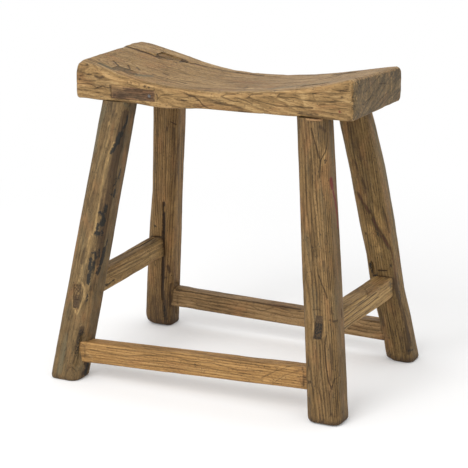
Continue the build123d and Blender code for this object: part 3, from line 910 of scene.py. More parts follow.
class Finish:
    """A material under construction."""

    def __init__(self, name):
        self.material = bpy.data.materials.new(name)
        self.material.use_nodes = True
        self.tree = self.material.node_tree
        self.tree.nodes.clear()

    def node(self, kind, settings=None, inputs=None, output=0):
        return make_node(self.tree, kind, settings, inputs, output)

    def mark(self, name):
        return self.node("ShaderNodeAttribute", {"attribute_name": name}, output=2)

    def place(self, name):
        return self.node("ShaderNodeAttribute", {"attribute_name": name}, output=1)

    def parts(self, wire):
        """The three numbers of a vector."""
        return [self.node("ShaderNodeSeparateXYZ", None, {0: wire}, part) for part in range(3)]

    def vector(self, operation, *values, output=0):
        inputs = dict(enumerate(values))
        return self.node("ShaderNodeVectorMath", {"operation": operation}, inputs, output)

    def noise(self, place, sizes, detail=PLAIN_DETAIL, roughness=PLAIN_ROUGHNESS, output=0):
        inputs = {"Vector": self.vector("DIVIDE", place, sizes), "Scale": 1.0, "Detail": detail,
                  "Roughness": roughness}
        return self.node("ShaderNodeTexNoise", {"noise_dimensions": "3D"}, inputs, output)

    def pattern(self, name, place, width=1, flat=1):
        (long, wide, deep), detail, roughness = PATTERNS[name]
        return self.noise(place, (long, wide * width * flat, deep * width), detail, roughness)

    def swing(self, place, sizes, reach):
        """Place moved about by noise, up to this far in each direction."""
        drift = self.vector("SUBTRACT", self.noise(place, sizes, output=1), (NOISE_MIDDLE,) * 3)
        return self.vector("MULTIPLY_ADD", drift, reach, place)

    def step(self, value, low, high):
        inputs = {"Value": value, "From Min": low, "From Max": high}
        return self.node("ShaderNodeMapRange", {"interpolation_type": "SMOOTHSTEP"}, inputs)

    def mix(self, share, first, second):
        return self.node("ShaderNodeMix", {"data_type": "RGBA"}, {0: share, 6: first, 7: second}, 2)

    def surface(self, color, roughness, height, depth=BUMP_DEPTH, metallic=0.0):
        normal = self.node("ShaderNodeBump", None, {"Height": height, "Distance": depth})
        inputs = {"Base Color": color, "Roughness": roughness, "Metallic": metallic,
                  "Specular IOR Level": SPECULAR, "Normal": normal}
        shader = self.node("ShaderNodeBsdfPrincipled", None, inputs)
        self.node("ShaderNodeOutputMaterial", None, {"Surface": shader})
        return self.material


def centred(noise):
    return noise - NOISE_MIDDLE


def rgb(red, green, blue):
    return (red, green, blue, 1.0)


print("a finish can", ", ".join(name for name in vars(Finish) if not name.startswith("_")))

# %% [markdown]
# ## Old elm
# Elm shows bold rings: a band of open pores in spring, dark with dirt on old wood, then denser
# summer wood with fine wavy streaks. All of it is one solid pattern in the tree, cut by each face
# of the timber, so faces, ends and arrises agree. The log tapers, and that turns the rings on a
# face into long pointed arches. A flat image on each face would not meet at the arrises.

# %% The grain of elm
SWINGS = (((170, 38, 38), 20.0), ((46, 10, 10), 3.6), ((12, 2.6, 2.6), 0.8))
ACROSS = (0.0, 1.0, 1.0)
SPRING_COMES, SPRING_GOES = (0.0, 0.1), (0.14, 0.75)
RING_CHANGE = 400.0
HAIR_SHARES = {"hair": 0.5, "fuzz": 0.5}
PORE_EDGE = (0.58, 0.7)
HEART_SWING = (30, 9, 9), (0.0, 5.0, 5.0)
FAN_TURNS, FAN_REACH, FAN_EDGE = 36.0, 60.0, (0.46, 0.66)


def elm_grain(finish, elm):
    """Each point's place in the tree, bent as the trunk grew, and how dark the grain is there."""
    place = swung = finish.place("grain")
    for sizes, reach in SWINGS:
        swung = finish.swing(swung, sizes, (0.0, reach * elm.wave, reach * elm.wave))
    across = finish.vector("LENGTH", finish.vector("MULTIPLY", swung, ACROSS), output=1)
    along = finish.parts(swung)[0]
    years = (across + along * elm.taper) / elm.ring
    turned = years.sum("FRACT", years)
    ring_place = finish.node("ShaderNodeCombineXYZ", None, {0: years, 1: along / RING_CHANGE})
    hairs = {"hair": finish.pattern("hair", swung, flat=elm.flat),
             "fuzz": finish.pattern("fuzz", place)}
    return SimpleNamespace(
        place=place, swung=swung, end=finish.mark("end_grain"),
        spring=finish.step(turned, *SPRING_COMES) * (1 - finish.step(turned, *SPRING_GOES)),
        rings=finish.pattern("rings", ring_place),
        fibre=finish.pattern("fibre", swung, flat=elm.flat),
        hair=weighed(HAIR_SHARES, hairs),
        pores=finish.step(finish.pattern("pores", swung, flat=elm.flat), *PORE_EDGE))


def end_checks(finish, place, heart):
    """Radial cracks of an end face, round the heart of the log."""
    from_heart = finish.vector("SUBTRACT", finish.swing(place, *HEART_SWING), heart)
    _, sideways, upward = finish.parts(from_heart)
    angle = sideways.sum("ARCTAN2", sideways, upward)
    reach = finish.vector("LENGTH", finish.vector("MULTIPLY", from_heart, ACROSS), output=1)
    fan = finish.node("ShaderNodeCombineXYZ", None, {0: angle * FAN_TURNS, 1: reach / FAN_REACH})
    return finish.step(finish.pattern("end_fan", fan), *FAN_EDGE)


print("elm grain is ready, with", len(SWINGS), "bends")

# %% [markdown]
# The tone says how dark the bare wood is, from summer wood at about 0 to open pores at about 1. It
# is one number, so that every colour that is laid on later can follow the same grain.

# %% The tone of bare elm
DASH_EDGE, DASH_GROUP_EDGE = (0.56, 0.68), (0.4, 0.62)
SPOT_DETAIL, SPOT_ROUGHNESS = 4, 0.6
TONE_MIDDLE, RING_TONE, SPRING_FLOOR, HAIR_TONE, PORE_TONE = 0.42, 1.3, 0.25, 1.5, 0.28
END_CHECK_TONE, END_TONE = 0.85, 0.02


def elm_tone(finish, elm, grain):
    """How dark the bare wood is. The dashes and patches are kept with the grain."""
    dashes = finish.pattern("dashes", grain.swung, elm.dash_width, elm.flat)
    groups = finish.pattern("dash_groups", grain.place)
    grain.dashes = finish.step(dashes, *DASH_EDGE) * finish.step(groups, *DASH_GROUP_EDGE)
    grain.patches = finish.noise(grain.place, elm.spots, SPOT_DETAIL, SPOT_ROUGHNESS)
    tone = TONE_MIDDLE + centred(grain.rings) * RING_TONE
    tone = tone + grain.spring * (grain.fibre + SPRING_FLOOR) * elm.bands
    tone = tone + centred(grain.fibre) * elm.streak + centred(grain.hair) * HAIR_TONE
    tone = tone + grain.pores * PORE_TONE + grain.dashes * elm.dash
    tone = tone + centred(grain.patches) * elm.blotch
    checks = end_checks(finish, grain.place, elm.heart)
    return tone + grain.end * (checks * END_CHECK_TONE + END_TONE)


print("bare elm has a tone of about", TONE_MIDDLE)

# %% [markdown]
# Weather, soil and wear are laid over the wood in the order in which they came. Each is a threshold
# on its mark. The mark is first moved by noise, because dirt and rubbing follow the fibres and end
# in a ragged edge. Cracks come last, because they are darkest.

# %% Marks and cracks over the wood
Layer = namedtuple("Layer", "drifts low high cover")
LAYERS = {
    "worn": Layer({"ragged": 1}, 0.25, 1.0, 0.7),
    "pale": Layer({"ragged": 0.6, "cloud": -1}, 0.1, 1.0, 0.7),
    "grey": Layer({"ragged": 0.6, "cloud": 1.8}, 0.1, 1.1, 0.75),
    "soil": Layer({"ragged": 0.8, "cloud": 1.2}, 0.15, 0.85, 0.85),
    "rust": Layer({"ragged": 0.4, "blots": 1}, 0.25, 0.7, 0.8),
    "soot": Layer({"ragged": 0.4, "blots": 3.2}, 0.26, 0.58, 0.93),
}
RAGGED_REACH = 0.9
WORN_TONES, PALE_TONES = (0.05, 0.8), (0.1, 1.0)
WORN_COLORS = rgb(.50, .31, .130), rgb(.34, .20, .078)
PALE_COLORS = rgb(.53, .37, .20), rgb(.17, .110, .06)
GREY_COLORS = rgb(.19, .165, .098), rgb(.075, .063, .036)
SOIL_COLOR, SOOT_COLOR = rgb(.050, .030, .017), rgb(.016, .016, .014)
RUST_COLOR = rgb(.15, .012, .016)
CHECK_WIDTH, CHECK_ZONE_EDGE, CHECK_STRENGTH = 0.013, (0.52, 0.66), 0.55
SEAM_WIDTH, SEAM_UNEVEN, SEAM_EDGE, SEAM_NEAR = 0.55, 1.5, (0.4, 1.3), (0.4, 0.8)


def lay_marks(finish, elm, grain, tone, color):
    """The colour under its marks, how much of each shows, and how ragged their edges are."""
    drifts = {"ragged": centred(finish.pattern("ragged", grain.swung)) * RAGGED_REACH,
              "cloud": centred(finish.pattern("cloud", grain.place)),
              "blots": centred(finish.pattern("blots", grain.place))}
    colors = {"worn": finish.mix(finish.step(tone, *WORN_TONES), *elm.rubbed),
              "pale": finish.mix(finish.step(tone, *PALE_TONES), *PALE_COLORS),
              "grey": finish.mix(grain.fibre, *GREY_COLORS),
              "soil": SOIL_COLOR, "rust": RUST_COLOR, "soot": SOOT_COLOR}
    shown = {}
    for name, layer in LAYERS.items():
        edge = finish.mark(name) + weighed(layer.drifts, drifts)
        shown[name] = finish.step(edge, layer.low, layer.high)
        color = finish.mix(shown[name] * layer.cover, color, colors[name])
    return color, shown, drifts["ragged"]


def seam_of(finish, place, ragged):
    """How open a drawn crack is here, from the seam attribute."""
    across, nearness, strength = finish.parts(finish.place("seam"))
    width = SEAM_WIDTH + finish.pattern("crack_width", place) * SEAM_UNEVEN
    inside = 1 - finish.step(across.sum("ABSOLUTE", across) / width + ragged, *SEAM_EDGE)
    return inside * finish.step(nearness, *SEAM_NEAR) * strength


def cracks_of(finish, grain, ragged):
    """How open the wood is: fine drying checks everywhere, and the cracks that were drawn."""
    line = centred(finish.pattern("checks", grain.swung))
    check = 1 - finish.step(line.sum("ABSOLUTE", line), 0.0, CHECK_WIDTH)
    zones = finish.step(finish.pattern("check_zones", grain.place), *CHECK_ZONE_EDGE)
    check = check * zones * (1 - grain.end)
    return check.sum("MAXIMUM", check * CHECK_STRENGTH, seam_of(finish, grain.place, ragged))


print("laid over the wood:", ", ".join(LAYERS))

# %% [markdown]
# The finish takes its colours and the strengths of its figure from a short description of each
# timber. Its colour goes from light summer wood to dark pores. A description keeps what is usual
# and names only what is particular to its timber, so the timbers stay one kind of wood.

# %% The finish of old elm
LIGHT_TO_MIDDLE, MIDDLE_TO_DARK = (0.0, 0.62), (0.45, 1.25)
RUDDY_EDGE, RUDDY_COVER, RUDDY_COLOR = (0.5, 0.75), 0.35, rgb(.36, .17, .065)
CRACK_COVER, CRACK_COLOR = 0.85, rgb(.036, .021, .012)
HEIGHTS = {"fibre": 0.9, "hair": 0.8, "spring": -0.5, "pores": -0.4, "dashes": -0.4, "opened": -2,
           "end_rings": -0.6}
ROUGHNESS, ROUGHER = 0.52, {"patches": 0.2, "soil": 0.12, "worn": -0.06}


@dataclass
class Elm:
    """How one timber grew and aged. Lengths are in millimetres."""
    light: tuple
    middle: tuple
    dark: tuple
    ring: float = 5.0  # width of a year's growth
    taper: float = 0.02  # narrowing of the log along its length
    wave: float = 0.5  # how crooked the fibres are
    heart: tuple = (0, 0, 0)  # the log's heart, from where the cracks of an end fan out
    blotch: float = 1.0
    spots: tuple = (90, 20, 20)  # size of the blotches
    dash: float = 0.3
    dash_width: float = 2.0
    streak: float = 0.95
    flat: float = 1.0  # how much wider the fibres are on a face sawn through the rings
    bands: float = 0.45
    rubbed: tuple = WORN_COLORS


def old_elm(name, elm):
    """The material of a timber, from its description."""
    finish = Finish(name)
    grain = elm_grain(finish, elm)
    tone = elm_tone(finish, elm, grain)
    color = finish.mix(finish.step(tone, *LIGHT_TO_MIDDLE), elm.light, elm.middle)
    color = finish.mix(finish.step(tone, *MIDDLE_TO_DARK), color, elm.dark)
    ruddy = finish.step(finish.pattern("ruddy", grain.place), *RUDDY_EDGE)
    color = finish.mix(ruddy * RUDDY_COVER, color, RUDDY_COLOR)
    color, shown, ragged = lay_marks(finish, elm, grain, tone, color)
    grain.opened, grain.end_rings = cracks_of(finish, grain, ragged), grain.end * grain.rings
    color = finish.mix(grain.opened * CRACK_COVER, color, CRACK_COLOR)
    rough = ROUGHNESS + weighed(ROUGHER, {**vars(grain), **shown})
    return finish.surface(color, rough, weighed(HEIGHTS, vars(grain)))


print("a timber is described by", ", ".join(Elm.__annotations__))

# %% [markdown]
# Every timber on the stool has its own history. The plank is sawn flat, so its figure is wide. The
# front legs are darkest, and the left one shows bright strips where its dirt has worn through. The
# back legs are warmer. The front stretcher is rubbed bright by feet, and the back one is duller.
# The patch is of a darker wood. One finish for all would be quicker, but then the stool would look
# like a new one that had been stained.

# %% Describe the timbers
ELMS = {
    "elm_plank": Elm(rgb(.43, .282, .125), rgb(.272, .163, .063), rgb(.072, .041, .017),
                     taper=-0.1, wave=1.0, heart=(0, 60, 66), dash=0.8, dash_width=2.6, flat=2.6),
    "elm_leg_front_left": Elm(rgb(.230, .146, .061), rgb(.137, .086, .036), rgb(.047, .029, .013),
                              ring=3.6, wave=0.4, blotch=1.3, spots=(22, 12, 12), streak=0.5,
                              bands=0.3, rubbed=(rgb(.49, .318, .132), rgb(.235, .148, .058))),
    "elm_leg_front_right": Elm(rgb(.272, .165, .066), rgb(.172, .102, .038), rgb(.053, .030, .012),
                               ring=3.2, wave=0.3, spots=(40, 12, 12), streak=0.5, bands=0.6,
                               rubbed=(rgb(.42, .262, .105), rgb(.21, .128, .048))),
    "elm_leg_back_left": Elm(rgb(.335, .202, .075), rgb(.208, .120, .043), rgb(.055, .028, .010),
                             ring=3.6, wave=0.3, blotch=0.9, spots=(40, 14, 14), streak=0.6,
                             bands=0.6, rubbed=(rgb(.36, .215, .085), rgb(.19, .11, .04))),
    "elm_leg_back_right": Elm(rgb(.282, .176, .068), rgb(.168, .102, .036), rgb(.045, .026, .010),
                              ring=3.6, blotch=1.2, spots=(36, 12, 12), streak=0.5, bands=0.4,
                              rubbed=(rgb(.50, .31, .115), rgb(.21, .125, .043))),
    "elm_front_rail": Elm(rgb(.51, .295, .112), rgb(.345, .190, .064), rgb(.13, .062, .020),
                          ring=4.4, wave=0.4, blotch=0.7, streak=0.6),
    "elm_back_rail": Elm(rgb(.355, .225, .105), rgb(.245, .147, .062), rgb(.075, .042, .018),
                         ring=4.4),
    "elm_side_rails": Elm(rgb(.45, .290, .118), rgb(.29, .178, .066), rgb(.09, .050, .019),
                          ring=4.4),
    "elm_right_rail": Elm(rgb(.51, .325, .125), rgb(.33, .202, .071), rgb(.10, .055, .020),
                          ring=4.4),
    "wedge_wood": Elm(rgb(.38, .26, .13), rgb(.26, .165, .08), rgb(.11, .065, .03), ring=3.0),
    "patch_wood": Elm(rgb(.200, .108, .052), rgb(.110, .060, .030), rgb(.032, .018, .010),
                      ring=3.0, blotch=1.8, spots=(16, 8, 8)),
    "shim_wood": Elm(rgb(.36, .22, .10), rgb(.27, .15, .065), rgb(.12, .06, .03), ring=3.0),
}
finishes = {name: old_elm(name, elm) for name, elm in ELMS.items()}
print("finishes:", ", ".join(finishes))

# %% [markdown]
# The nail is wrought iron: dark scale, with bare metal where it was struck. Its head is only a few
# millimetres wide, so one fine noise gives the scale its colour, its roughness and its pits. A
# plain grey metal would look like a new nail.

# %% The iron of the nail
IRON_GRAIN, IRON_DETAIL, IRON_NOISE_ROUGHNESS = 1.2 * MM, 4, 0.6
IRON_EDGE, IRON_DARK, IRON_BARE = (0.4, 0.65), rgb(.075, .06, .055), rgb(.24, .23, .22)
IRON_ROUGHNESS, IRON_ROUGHER, IRON_PITS, IRON_METALLIC = 0.55, 0.3, 0.2 * MM, 0.6


def wrought_iron():
    finish = Finish("wrought_iron")
    place = finish.node("ShaderNodeTexCoord", output=3)
    scale = finish.noise(place, (IRON_GRAIN,) * 3, IRON_DETAIL, IRON_NOISE_ROUGHNESS)
    color = finish.mix(finish.step(scale, *IRON_EDGE), IRON_DARK, IRON_BARE)
    roughness = IRON_ROUGHNESS + scale * IRON_ROUGHER
    return finish.surface(color, roughness, scale, IRON_PITS, IRON_METALLIC)


finishes["wrought_iron"] = wrought_iron()
print("the pattern on the iron is", IRON_GRAIN / MM, "mm fine")

# %% [markdown]
# ## Plank
# The plank is one thick board whose top is hollowed along its length. It is sliced along its
# length. Its mortises and the recess of the repair are cut with a boolean, after the wear, so that
# their edges stay as crisp as the joiner left them.

# %% Blocks that cut mortises
CUT_ROOM = 0.25 * MM


def block(outline, axis, near, far, lean=(0, 0)):
    """Points and faces of a block that follows a flat outline from one place to another."""
    middle = outline.mean(0)
    grown = middle + (outline - middle) * (1 + 2 * CUT_ROOM / np.ptp(outline, 0))
    ends = [np.insert(grown + np.array(lean) * place, axis, place, 1) for place in (near, far)]
    count = len(outline)
    corners = [(side, (side + 1) % count) for side in range(count)]
    faces = [[here, after, after + count, here + count] for here, after in corners]
    faces += [list(range(count))[::-1], list(range(count, 2 * count))]
    if axis == 1:
        faces = [face[::-1] for face in faces]
    return np.concatenate(ends), faces


def joined(first, *others):
    """Several sets of points and faces as one."""
    points, faces = first
    for more_points, more_faces in others:
        faces = list(faces) + [[index + len(points) for index in face] for face in more_faces]
        points = np.concatenate([points, more_points])
    return points, faces


def cut_out(mesh, blocks):
    """Cuts blocks out of a mesh, and keeps its attributes."""
    target = bpy.data.objects.new(mesh.name + "_target", mesh)
    cutter = bpy.data.objects.new(mesh.name + "_cutter", mesh_of("cutter", *joined(*blocks)))
    for made in (target, cutter):
        bpy.context.scene.collection.objects.link(made)
    boolean = target.modifiers.new("mortises", "BOOLEAN")
    boolean.operation, boolean.solver, boolean.object = "DIFFERENCE", "EXACT", cutter
    evaluated = target.evaluated_get(bpy.context.evaluated_depsgraph_get())
    cut = bpy.data.meshes.new_from_object(evaluated)
    cut.name = mesh.name + "_cut"
    for made in (target, cutter):
        bpy.data.objects.remove(made)
    return cut


print("mortises have", CUT_ROOM / MM, "mm of room")

# %% [markdown]
# Hewing and use leave the same kinds of trace on every timber: long shallow lumps, shorter ones on
# them, and chips knocked out of the arrises. Only their sizes differ, so each timber brings its
# own.

# %% Hew and chip a timber
Hewing = namedtuple(
    "Hewing", "long long_height short short_height chip chip_gap chip_depth chip_reach")


def hewn(points, from_arris, hewing, seeds):
    """How far hewing and knocks moved the surface, in millimetres."""
    push = lumps(points, hewing.long, seeds[0]) * hewing.long_height
    push += lumps(points, hewing.short, seeds[1]) * hewing.short_height
    chips = np.maximum(lumps(points, hewing.chip, seeds[2]) - hewing.chip_gap, 0)
    return push - hewing.chip_depth * chips * hump(from_arris, 0, hewing.chip_reach)


print("a timber's hewing is given by", ", ".join(Hewing._fields))

# %% [markdown]
# The plank's underside sags left of its middle, and is hewn back a little near its left end and
# beside the right-hand legs. Behind the long crack the left half of the top has lifted as a strip,
# less so at its very end. Both are too local for the CAD model, and both show in the outline.

# %% Slice and wear the plank
SEAT_COUNTS = (128, 50, 62, 34)
SEAT_STEP, SEAT_ROUNDING, SEAT_INSET = 1.75 * MM, 9 * MM, 2.1 * MM
SEAT_HEWING = Hewing((0.09, 0.022, 0.022), 0.5, (0.024, 0.01, 0.01), 0.25,
                     (0.016, 0.008, 0.008), 0.1, 1.3, 6 * MM)
SEAT_SEEDS = (1, 2, 4)
SEAT_FULLNESS = 0.3
SAG, SAG_MIDDLE, SAG_WIDTH = 4.4, -78, 48
CUT_BACK, CUT_BACKS = 1.2, ((-222, 16), (158, 14))
FACING_DOWN, FACING_UP = (-0.3, -0.9), (0.3, 0.8)
CRACK_X, CRACK_Y = (-236, -186, -128, -44, 40), (45, 46, 68, 80, 100)
CRACK_SIDE = (-0.5, 1.5)
LIFT, LIFT_FADES, LOW_END, LOW_END_FADES = 1.5, (-170, -60), 0.7, (-236, -205)
CUT_FROM, CUT_TO = 440 * MM, 540 * MM
TENON_TEST = (456 * MM, 470 * MM)
RECESS_FRONT, RECESS_ROOM = 10 * MM, 0.1 * MM
LEGS = {"front_left": (-1, -1), "front_right": (1, -1), "back_left": (-1, 1), "back_right": (1, 1)}
LEG_NODES = ["leg_" + leg for leg in LEGS]


def seat_blocks():
    """A leaning block for each tenon, and one for the repair in the front edge."""
    found = []
    for node in LEG_NODES:
        low, high = (outline_at(node, 2, place) for place in TENON_TEST)
        lean = (high.mean(0) - low.mean(0)) / (TENON_TEST[1] - TENON_TEST[0])
        (left, front), (right, back) = low.min(0), low.max(0)
        corners = np.array([(left, front), (right, front), (right, back), (left, back)])
        found.append(block(corners - lean * TENON_TEST[0], 2, CUT_FROM, CUT_TO, lean))
    low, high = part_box("edge_patch")
    outline = outline_at("edge_patch", 1, (low.y + high.y) / 2)
    return found + [block(outline, 1, low.y - RECESS_FRONT, high.y + RECESS_ROOM)]


def behind_crack(x, y):
    """1 on the strip of the plank's top behind its long crack."""
    return soft_step(*CRACK_SIDE, y - np.interp(x, CRACK_X, CRACK_Y))


def seat_push(points, from_arris, normals):
    """How far hewing, rubbing and sagging moved the plank's surface, in metres."""
    x, y, up = points[:, 0] / MM, points[:, 1] / MM, normals[:, 2]
    push = hewn(points, from_arris, SEAT_HEWING, SEAT_SEEDS) + SEAT_FULLNESS
    below = soft_step(*FACING_DOWN, up)
    push += below * SAG * hump(x, SAG_MIDDLE, SAG_WIDTH)
    push -= below * CUT_BACK * sum(hump(x, *cut) for cut in CUT_BACKS)
    lifted = behind_crack(x, y) * (1 - soft_step(*LIFT_FADES, x)) * soft_step(*FACING_UP, up)
    push += (LIFT - LOW_END * (1 - soft_step(*LOW_END_FADES, x))) * lifted
    return push * MM


def make_seat():
    """The worn plank with its mortises and the recess of the repair."""
    low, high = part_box("seat_plank")
    ends = low.x + SEAT_INSET, high.x - SEAT_INSET
    stations = rounded_stations(*ends, SEAT_STEP, SEAT_ROUNDING, SEAT_ROUNDING)
    points, faces, from_arris = skin_of("seat_plank", 0, stations, SEAT_COUNTS)
    mesh = mesh_of("seat_plank_skin", points, faces)
    move_mesh(mesh, seat_push(points, from_arris, read_mesh(mesh, "normal")))
    press(mesh, "seat_plank")
    store(mesh, "from_arris", from_arris)
    return cut_out(mesh, seat_blocks())


seat = make_seat()
print("plank faces", len(seat.polygons))

# %% [markdown]
# Broad marks cover whole faces. Sitting rubbed the plank's top, most of all its right half, and
# hands rubbed the front edge. The whole top is also made a little paler and greyer as a painted
# sheen. The right end is grey with weather, and dirt sits round the tenons.

# %% Mark the plank
JOINT_REACH = 3.2 * MM
RUBBED_REACH = 5 * MM
FRONT_FACE, RIGHT_FACE, TOP_FACE = (0.5, 0.9), (0.6, 0.9), (0.5, 0.85)
PALE_TOP_SHEEN, PALE_SEAT, PALE_STRIP, PALE_GROWS = 0.08, 0.44, 0.36, (-100, 120)
WORN_ARRIS, WORN_FRONT, WORN_STRIP, WORN_SEAT, WORN_GROWS = 0.42, 0.3, 0.5, 0.4, (-120, 60)
GREY_TOP_SHEEN, GREY_END, SOIL_TOP, SOIL_END, SOIL_JOINT = 0.1, 0.62, 0.1, 0.34, 0.5


def near_nodes(points, nodes):
    """How near each point is to other timbers: 1 where they touch."""
    found = np.zeros(len(points))
    for node in nodes:
        others, _, triangles = arrays_of(node)
        tree = BVHTree.FromPolygons(others.tolist(), triangles.tolist())
        low, high = (np.array(corner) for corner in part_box(node))
        close = np.all((points > low - 2 * JOINT_REACH) & (points < high + 2 * JOINT_REACH), 1)
        for index in np.flatnonzero(close):
            away = tree.find_nearest(Vector(points[index]))[3]
            found[index] = max(found[index], 1 - away / JOINT_REACH)
    return found


def most(*fields):
    """The largest of several fields at each point."""
    return functools.reduce(np.maximum, fields)


def kept_arris(mesh):
    """The distances from an arris that were stored on a mesh before it was cut."""
    values = np.zeros(len(mesh.vertices), np.float32)
    mesh.attributes["from_arris"].data.foreach_get("value", values)
    return values


def seat_marks(mesh):
    """Broad marks of the plank."""
    points, normals = read_mesh(mesh), read_mesh(mesh, "normal")
    front, right = soft_step(*FRONT_FACE, -normals[:, 1]), soft_step(*RIGHT_FACE, normals[:, 0])
    top = soft_step(*TOP_FACE, normals[:, 2])
    x, y = points[:, 0] / MM, points[:, 1] / MM
    strip = behind_crack(x, y)
    arris = WORN_ARRIS * hump(kept_arris(mesh), 0, RUBBED_REACH) * (1 - right)
    sat_on = top * most(WORN_STRIP * strip, WORN_SEAT * soft_step(*WORN_GROWS, x))
    joints = SOIL_JOINT * near_nodes(points, LEG_NODES)
    return {"worn": most(arris, WORN_FRONT * front, sat_on),
            # The pale and grey over the whole top are a painted sheen; the rest of the pale is
            # rubbed wood.
            "pale": top * (PALE_TOP_SHEEN + PALE_SEAT * soft_step(*PALE_GROWS, x) + PALE_STRIP * strip),
            "grey": GREY_TOP_SHEEN * top + GREY_END * right,
            "soil": most(SOIL_TOP * top + SOIL_END * right, joints)}


SEAT_PITH = (60, -488)
mark_points(seat, "seat_plank", (1, 0, 0), SEAT_PITH, seat_marks(seat))
add_piece(seat, "seat_plank", "elm_plank")
print("plank marked")

# %% [markdown]
# ## Legs
# A leg is sliced across its height up to its shoulder. Its tenon, with the kerf for the wedge,
# comes from the CAD node above the shoulder. Where a stretcher's tenon comes through, a mouth is
# cut.

# %% Slice and wear the legs
SHOULDER, LEG_FOOT = 449.9 * MM, 0.02 * MM
LEG_COUNTS = (42, 38, 42, 38)
LEG_STEP, FOOT_ROUNDING, SHOULDER_ROUNDING = 2.5 * MM, 4.5 * MM, 0.3 * MM
LEG_HEWING = Hewing((0.022, 0.022, 0.11), 0.5, (0.01, 0.01, 0.03), 0.22,
                    (0.009, 0.009, 0.02), 0.15, 1.5, 5 * MM)
LEG_FULLNESS, FOOT_FADES = 0.35, 10 * MM
LEG_SEED, LEG_SEEDS = 11, (0, 3, 5)
THROUGH = {"leg_front_left": ("stretcher_left", "key_left"),
           "leg_front_right": ("stretcher_right", "key_right")}
MOUTH_TEST, MOUTH_FRONT, MOUTH_BACK = 6 * MM, 30 * MM, 5 * MM
SAME_POINT = 1e-6


def welded(node):
    """A CAD node as one connected mesh, ready for edits."""
    points, _, triangles = arrays_of(node)
    work = bmesh.new()
    corners = [work.verts.new(point) for point in points]
    for triangle in triangles:
        work.faces.new([corners[index] for index in triangle])
    bmesh.ops.remove_doubles(work, verts=work.verts, dist=SAME_POINT)
    return work


def tenon_above(node, height):
    """The part of a CAD node above a height, closed below."""
    work = welded(node)
    plane = {"plane_co": (0, 0, height), "plane_no": (0, 0, 1), "clear_inner": True}
    cut = bmesh.ops.bisect_plane(work, geom=[*work.verts, *work.edges, *work.faces], **plane)
    rim = [item for item in cut["geom_cut"] if isinstance(item, bmesh.types.BMEdge)]
    bmesh.ops.holes_fill(work, edges=rim)
    work.verts.index_update()
    points = np.array([vertex.co[:] for vertex in work.verts])
    faces = [[vertex.index for vertex in face.verts] for face in work.faces]
    work.free()
    return points, faces


def make_leg(node, seed):
    """A worn leg up to its shoulder, with a mouth where a stretcher's tenon comes through."""
    stations = rounded_stations(LEG_FOOT, SHOULDER, LEG_STEP, FOOT_ROUNDING, SHOULDER_ROUNDING)
    points, faces, from_arris = skin_of(node, 2, stations, LEG_COUNTS, shot=(False, False))
    mesh = mesh_of(node + "_skin", points, faces)
    push = hewn(points, from_arris, LEG_HEWING, [seed + more for more in LEG_SEEDS]) + LEG_FULLNESS
    move_mesh(mesh, push * MM * soft_step(0, FOOT_FADES, points[:, 2]))
    press(mesh, node)
    store(mesh, "from_arris", from_arris)
    if node in THROUGH:
        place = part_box(THROUGH[node][0])[0].y + MOUTH_TEST
        both = hull_of(np.concatenate([outline_at(name, 1, place) for name in THROUGH[node]]))
        mesh = cut_out(mesh, [block(both, 1, place - MOUTH_FRONT, place + MOUTH_BACK)])
    return mesh


def with_tenon(mesh, node):
    """The worn leg and its seat tenon as one mesh, and its distances from an arris, in metres."""
    body = read_mesh(mesh), [list(face.vertices) for face in mesh.polygons]
    tenon = tenon_above(node, SHOULDER)
    from_arris = np.r_[kept_arris(mesh), np.ones(len(tenon[0]))]
    return mesh_of(node + "_whole", *joined(body, tenon)), from_arris


leg_meshes = {leg: with_tenon(make_leg("leg_" + leg, seed), "leg_" + leg)
              for seed, leg in enumerate(LEGS, LEG_SEED)}
print("leg faces", {leg: len(mesh.polygons) for leg, (mesh, _) in leg_meshes.items()})

# %% [markdown]
# Each leg has its own wear. The back left one is rubbed above and dirty at its foot, and the front
# ones are greyer. Dirt has gathered where the stretchers enter and at the feet. On three of the
# legs the wood just under the plank is darkened as painted shade, and the front face of each leg is
# lightened with the rubbed colour as painted light, most of all on the back left one.

# %% Mark the legs
SPLAY = (math.tan(math.radians(7.7)), math.tan(math.radians(9.75)))
LegWear = namedtuple("LegWear", "pith rubbing dirt neck grey")
# The second entry of each leg lightens its front face as painted light, and the fourth darkens the
# wood just under the plank as painted shade.
LEG_WEAR = {
    "front_left": LegWear((28, -70), 0.1, 0, 0.3, 0.22),
    "front_right": LegWear((-30, -60), 0.08, 0.2, 0.3, 0.2),
    "back_left": LegWear((70, -16), 0.45, 0.5, 0, 0.1),
    "back_right": LegWear((60, 20), 0.15, 0.24, 0.3, 0.12),
}
LEG_FACE, LEG_RUBBED_REACH = (0.6, 0.9), 4 * MM
LEG_ARRIS, LEG_RIGHT, LEG_RIGHT_GREY, LEG_JOINT, LEG_SOIL = 0.36, 0.3, 0.12, 0.85, 0.08
SOLE_DIRT, SOLE_REACH, DIRT_REACH = 0.45, 9 * MM, 110 * MM
NECK_SHADE_REACH = 60 * MM
RAILS = {"stretcher_front": 0, "stretcher_back": 0, "stretcher_left": 1, "stretcher_right": 1}


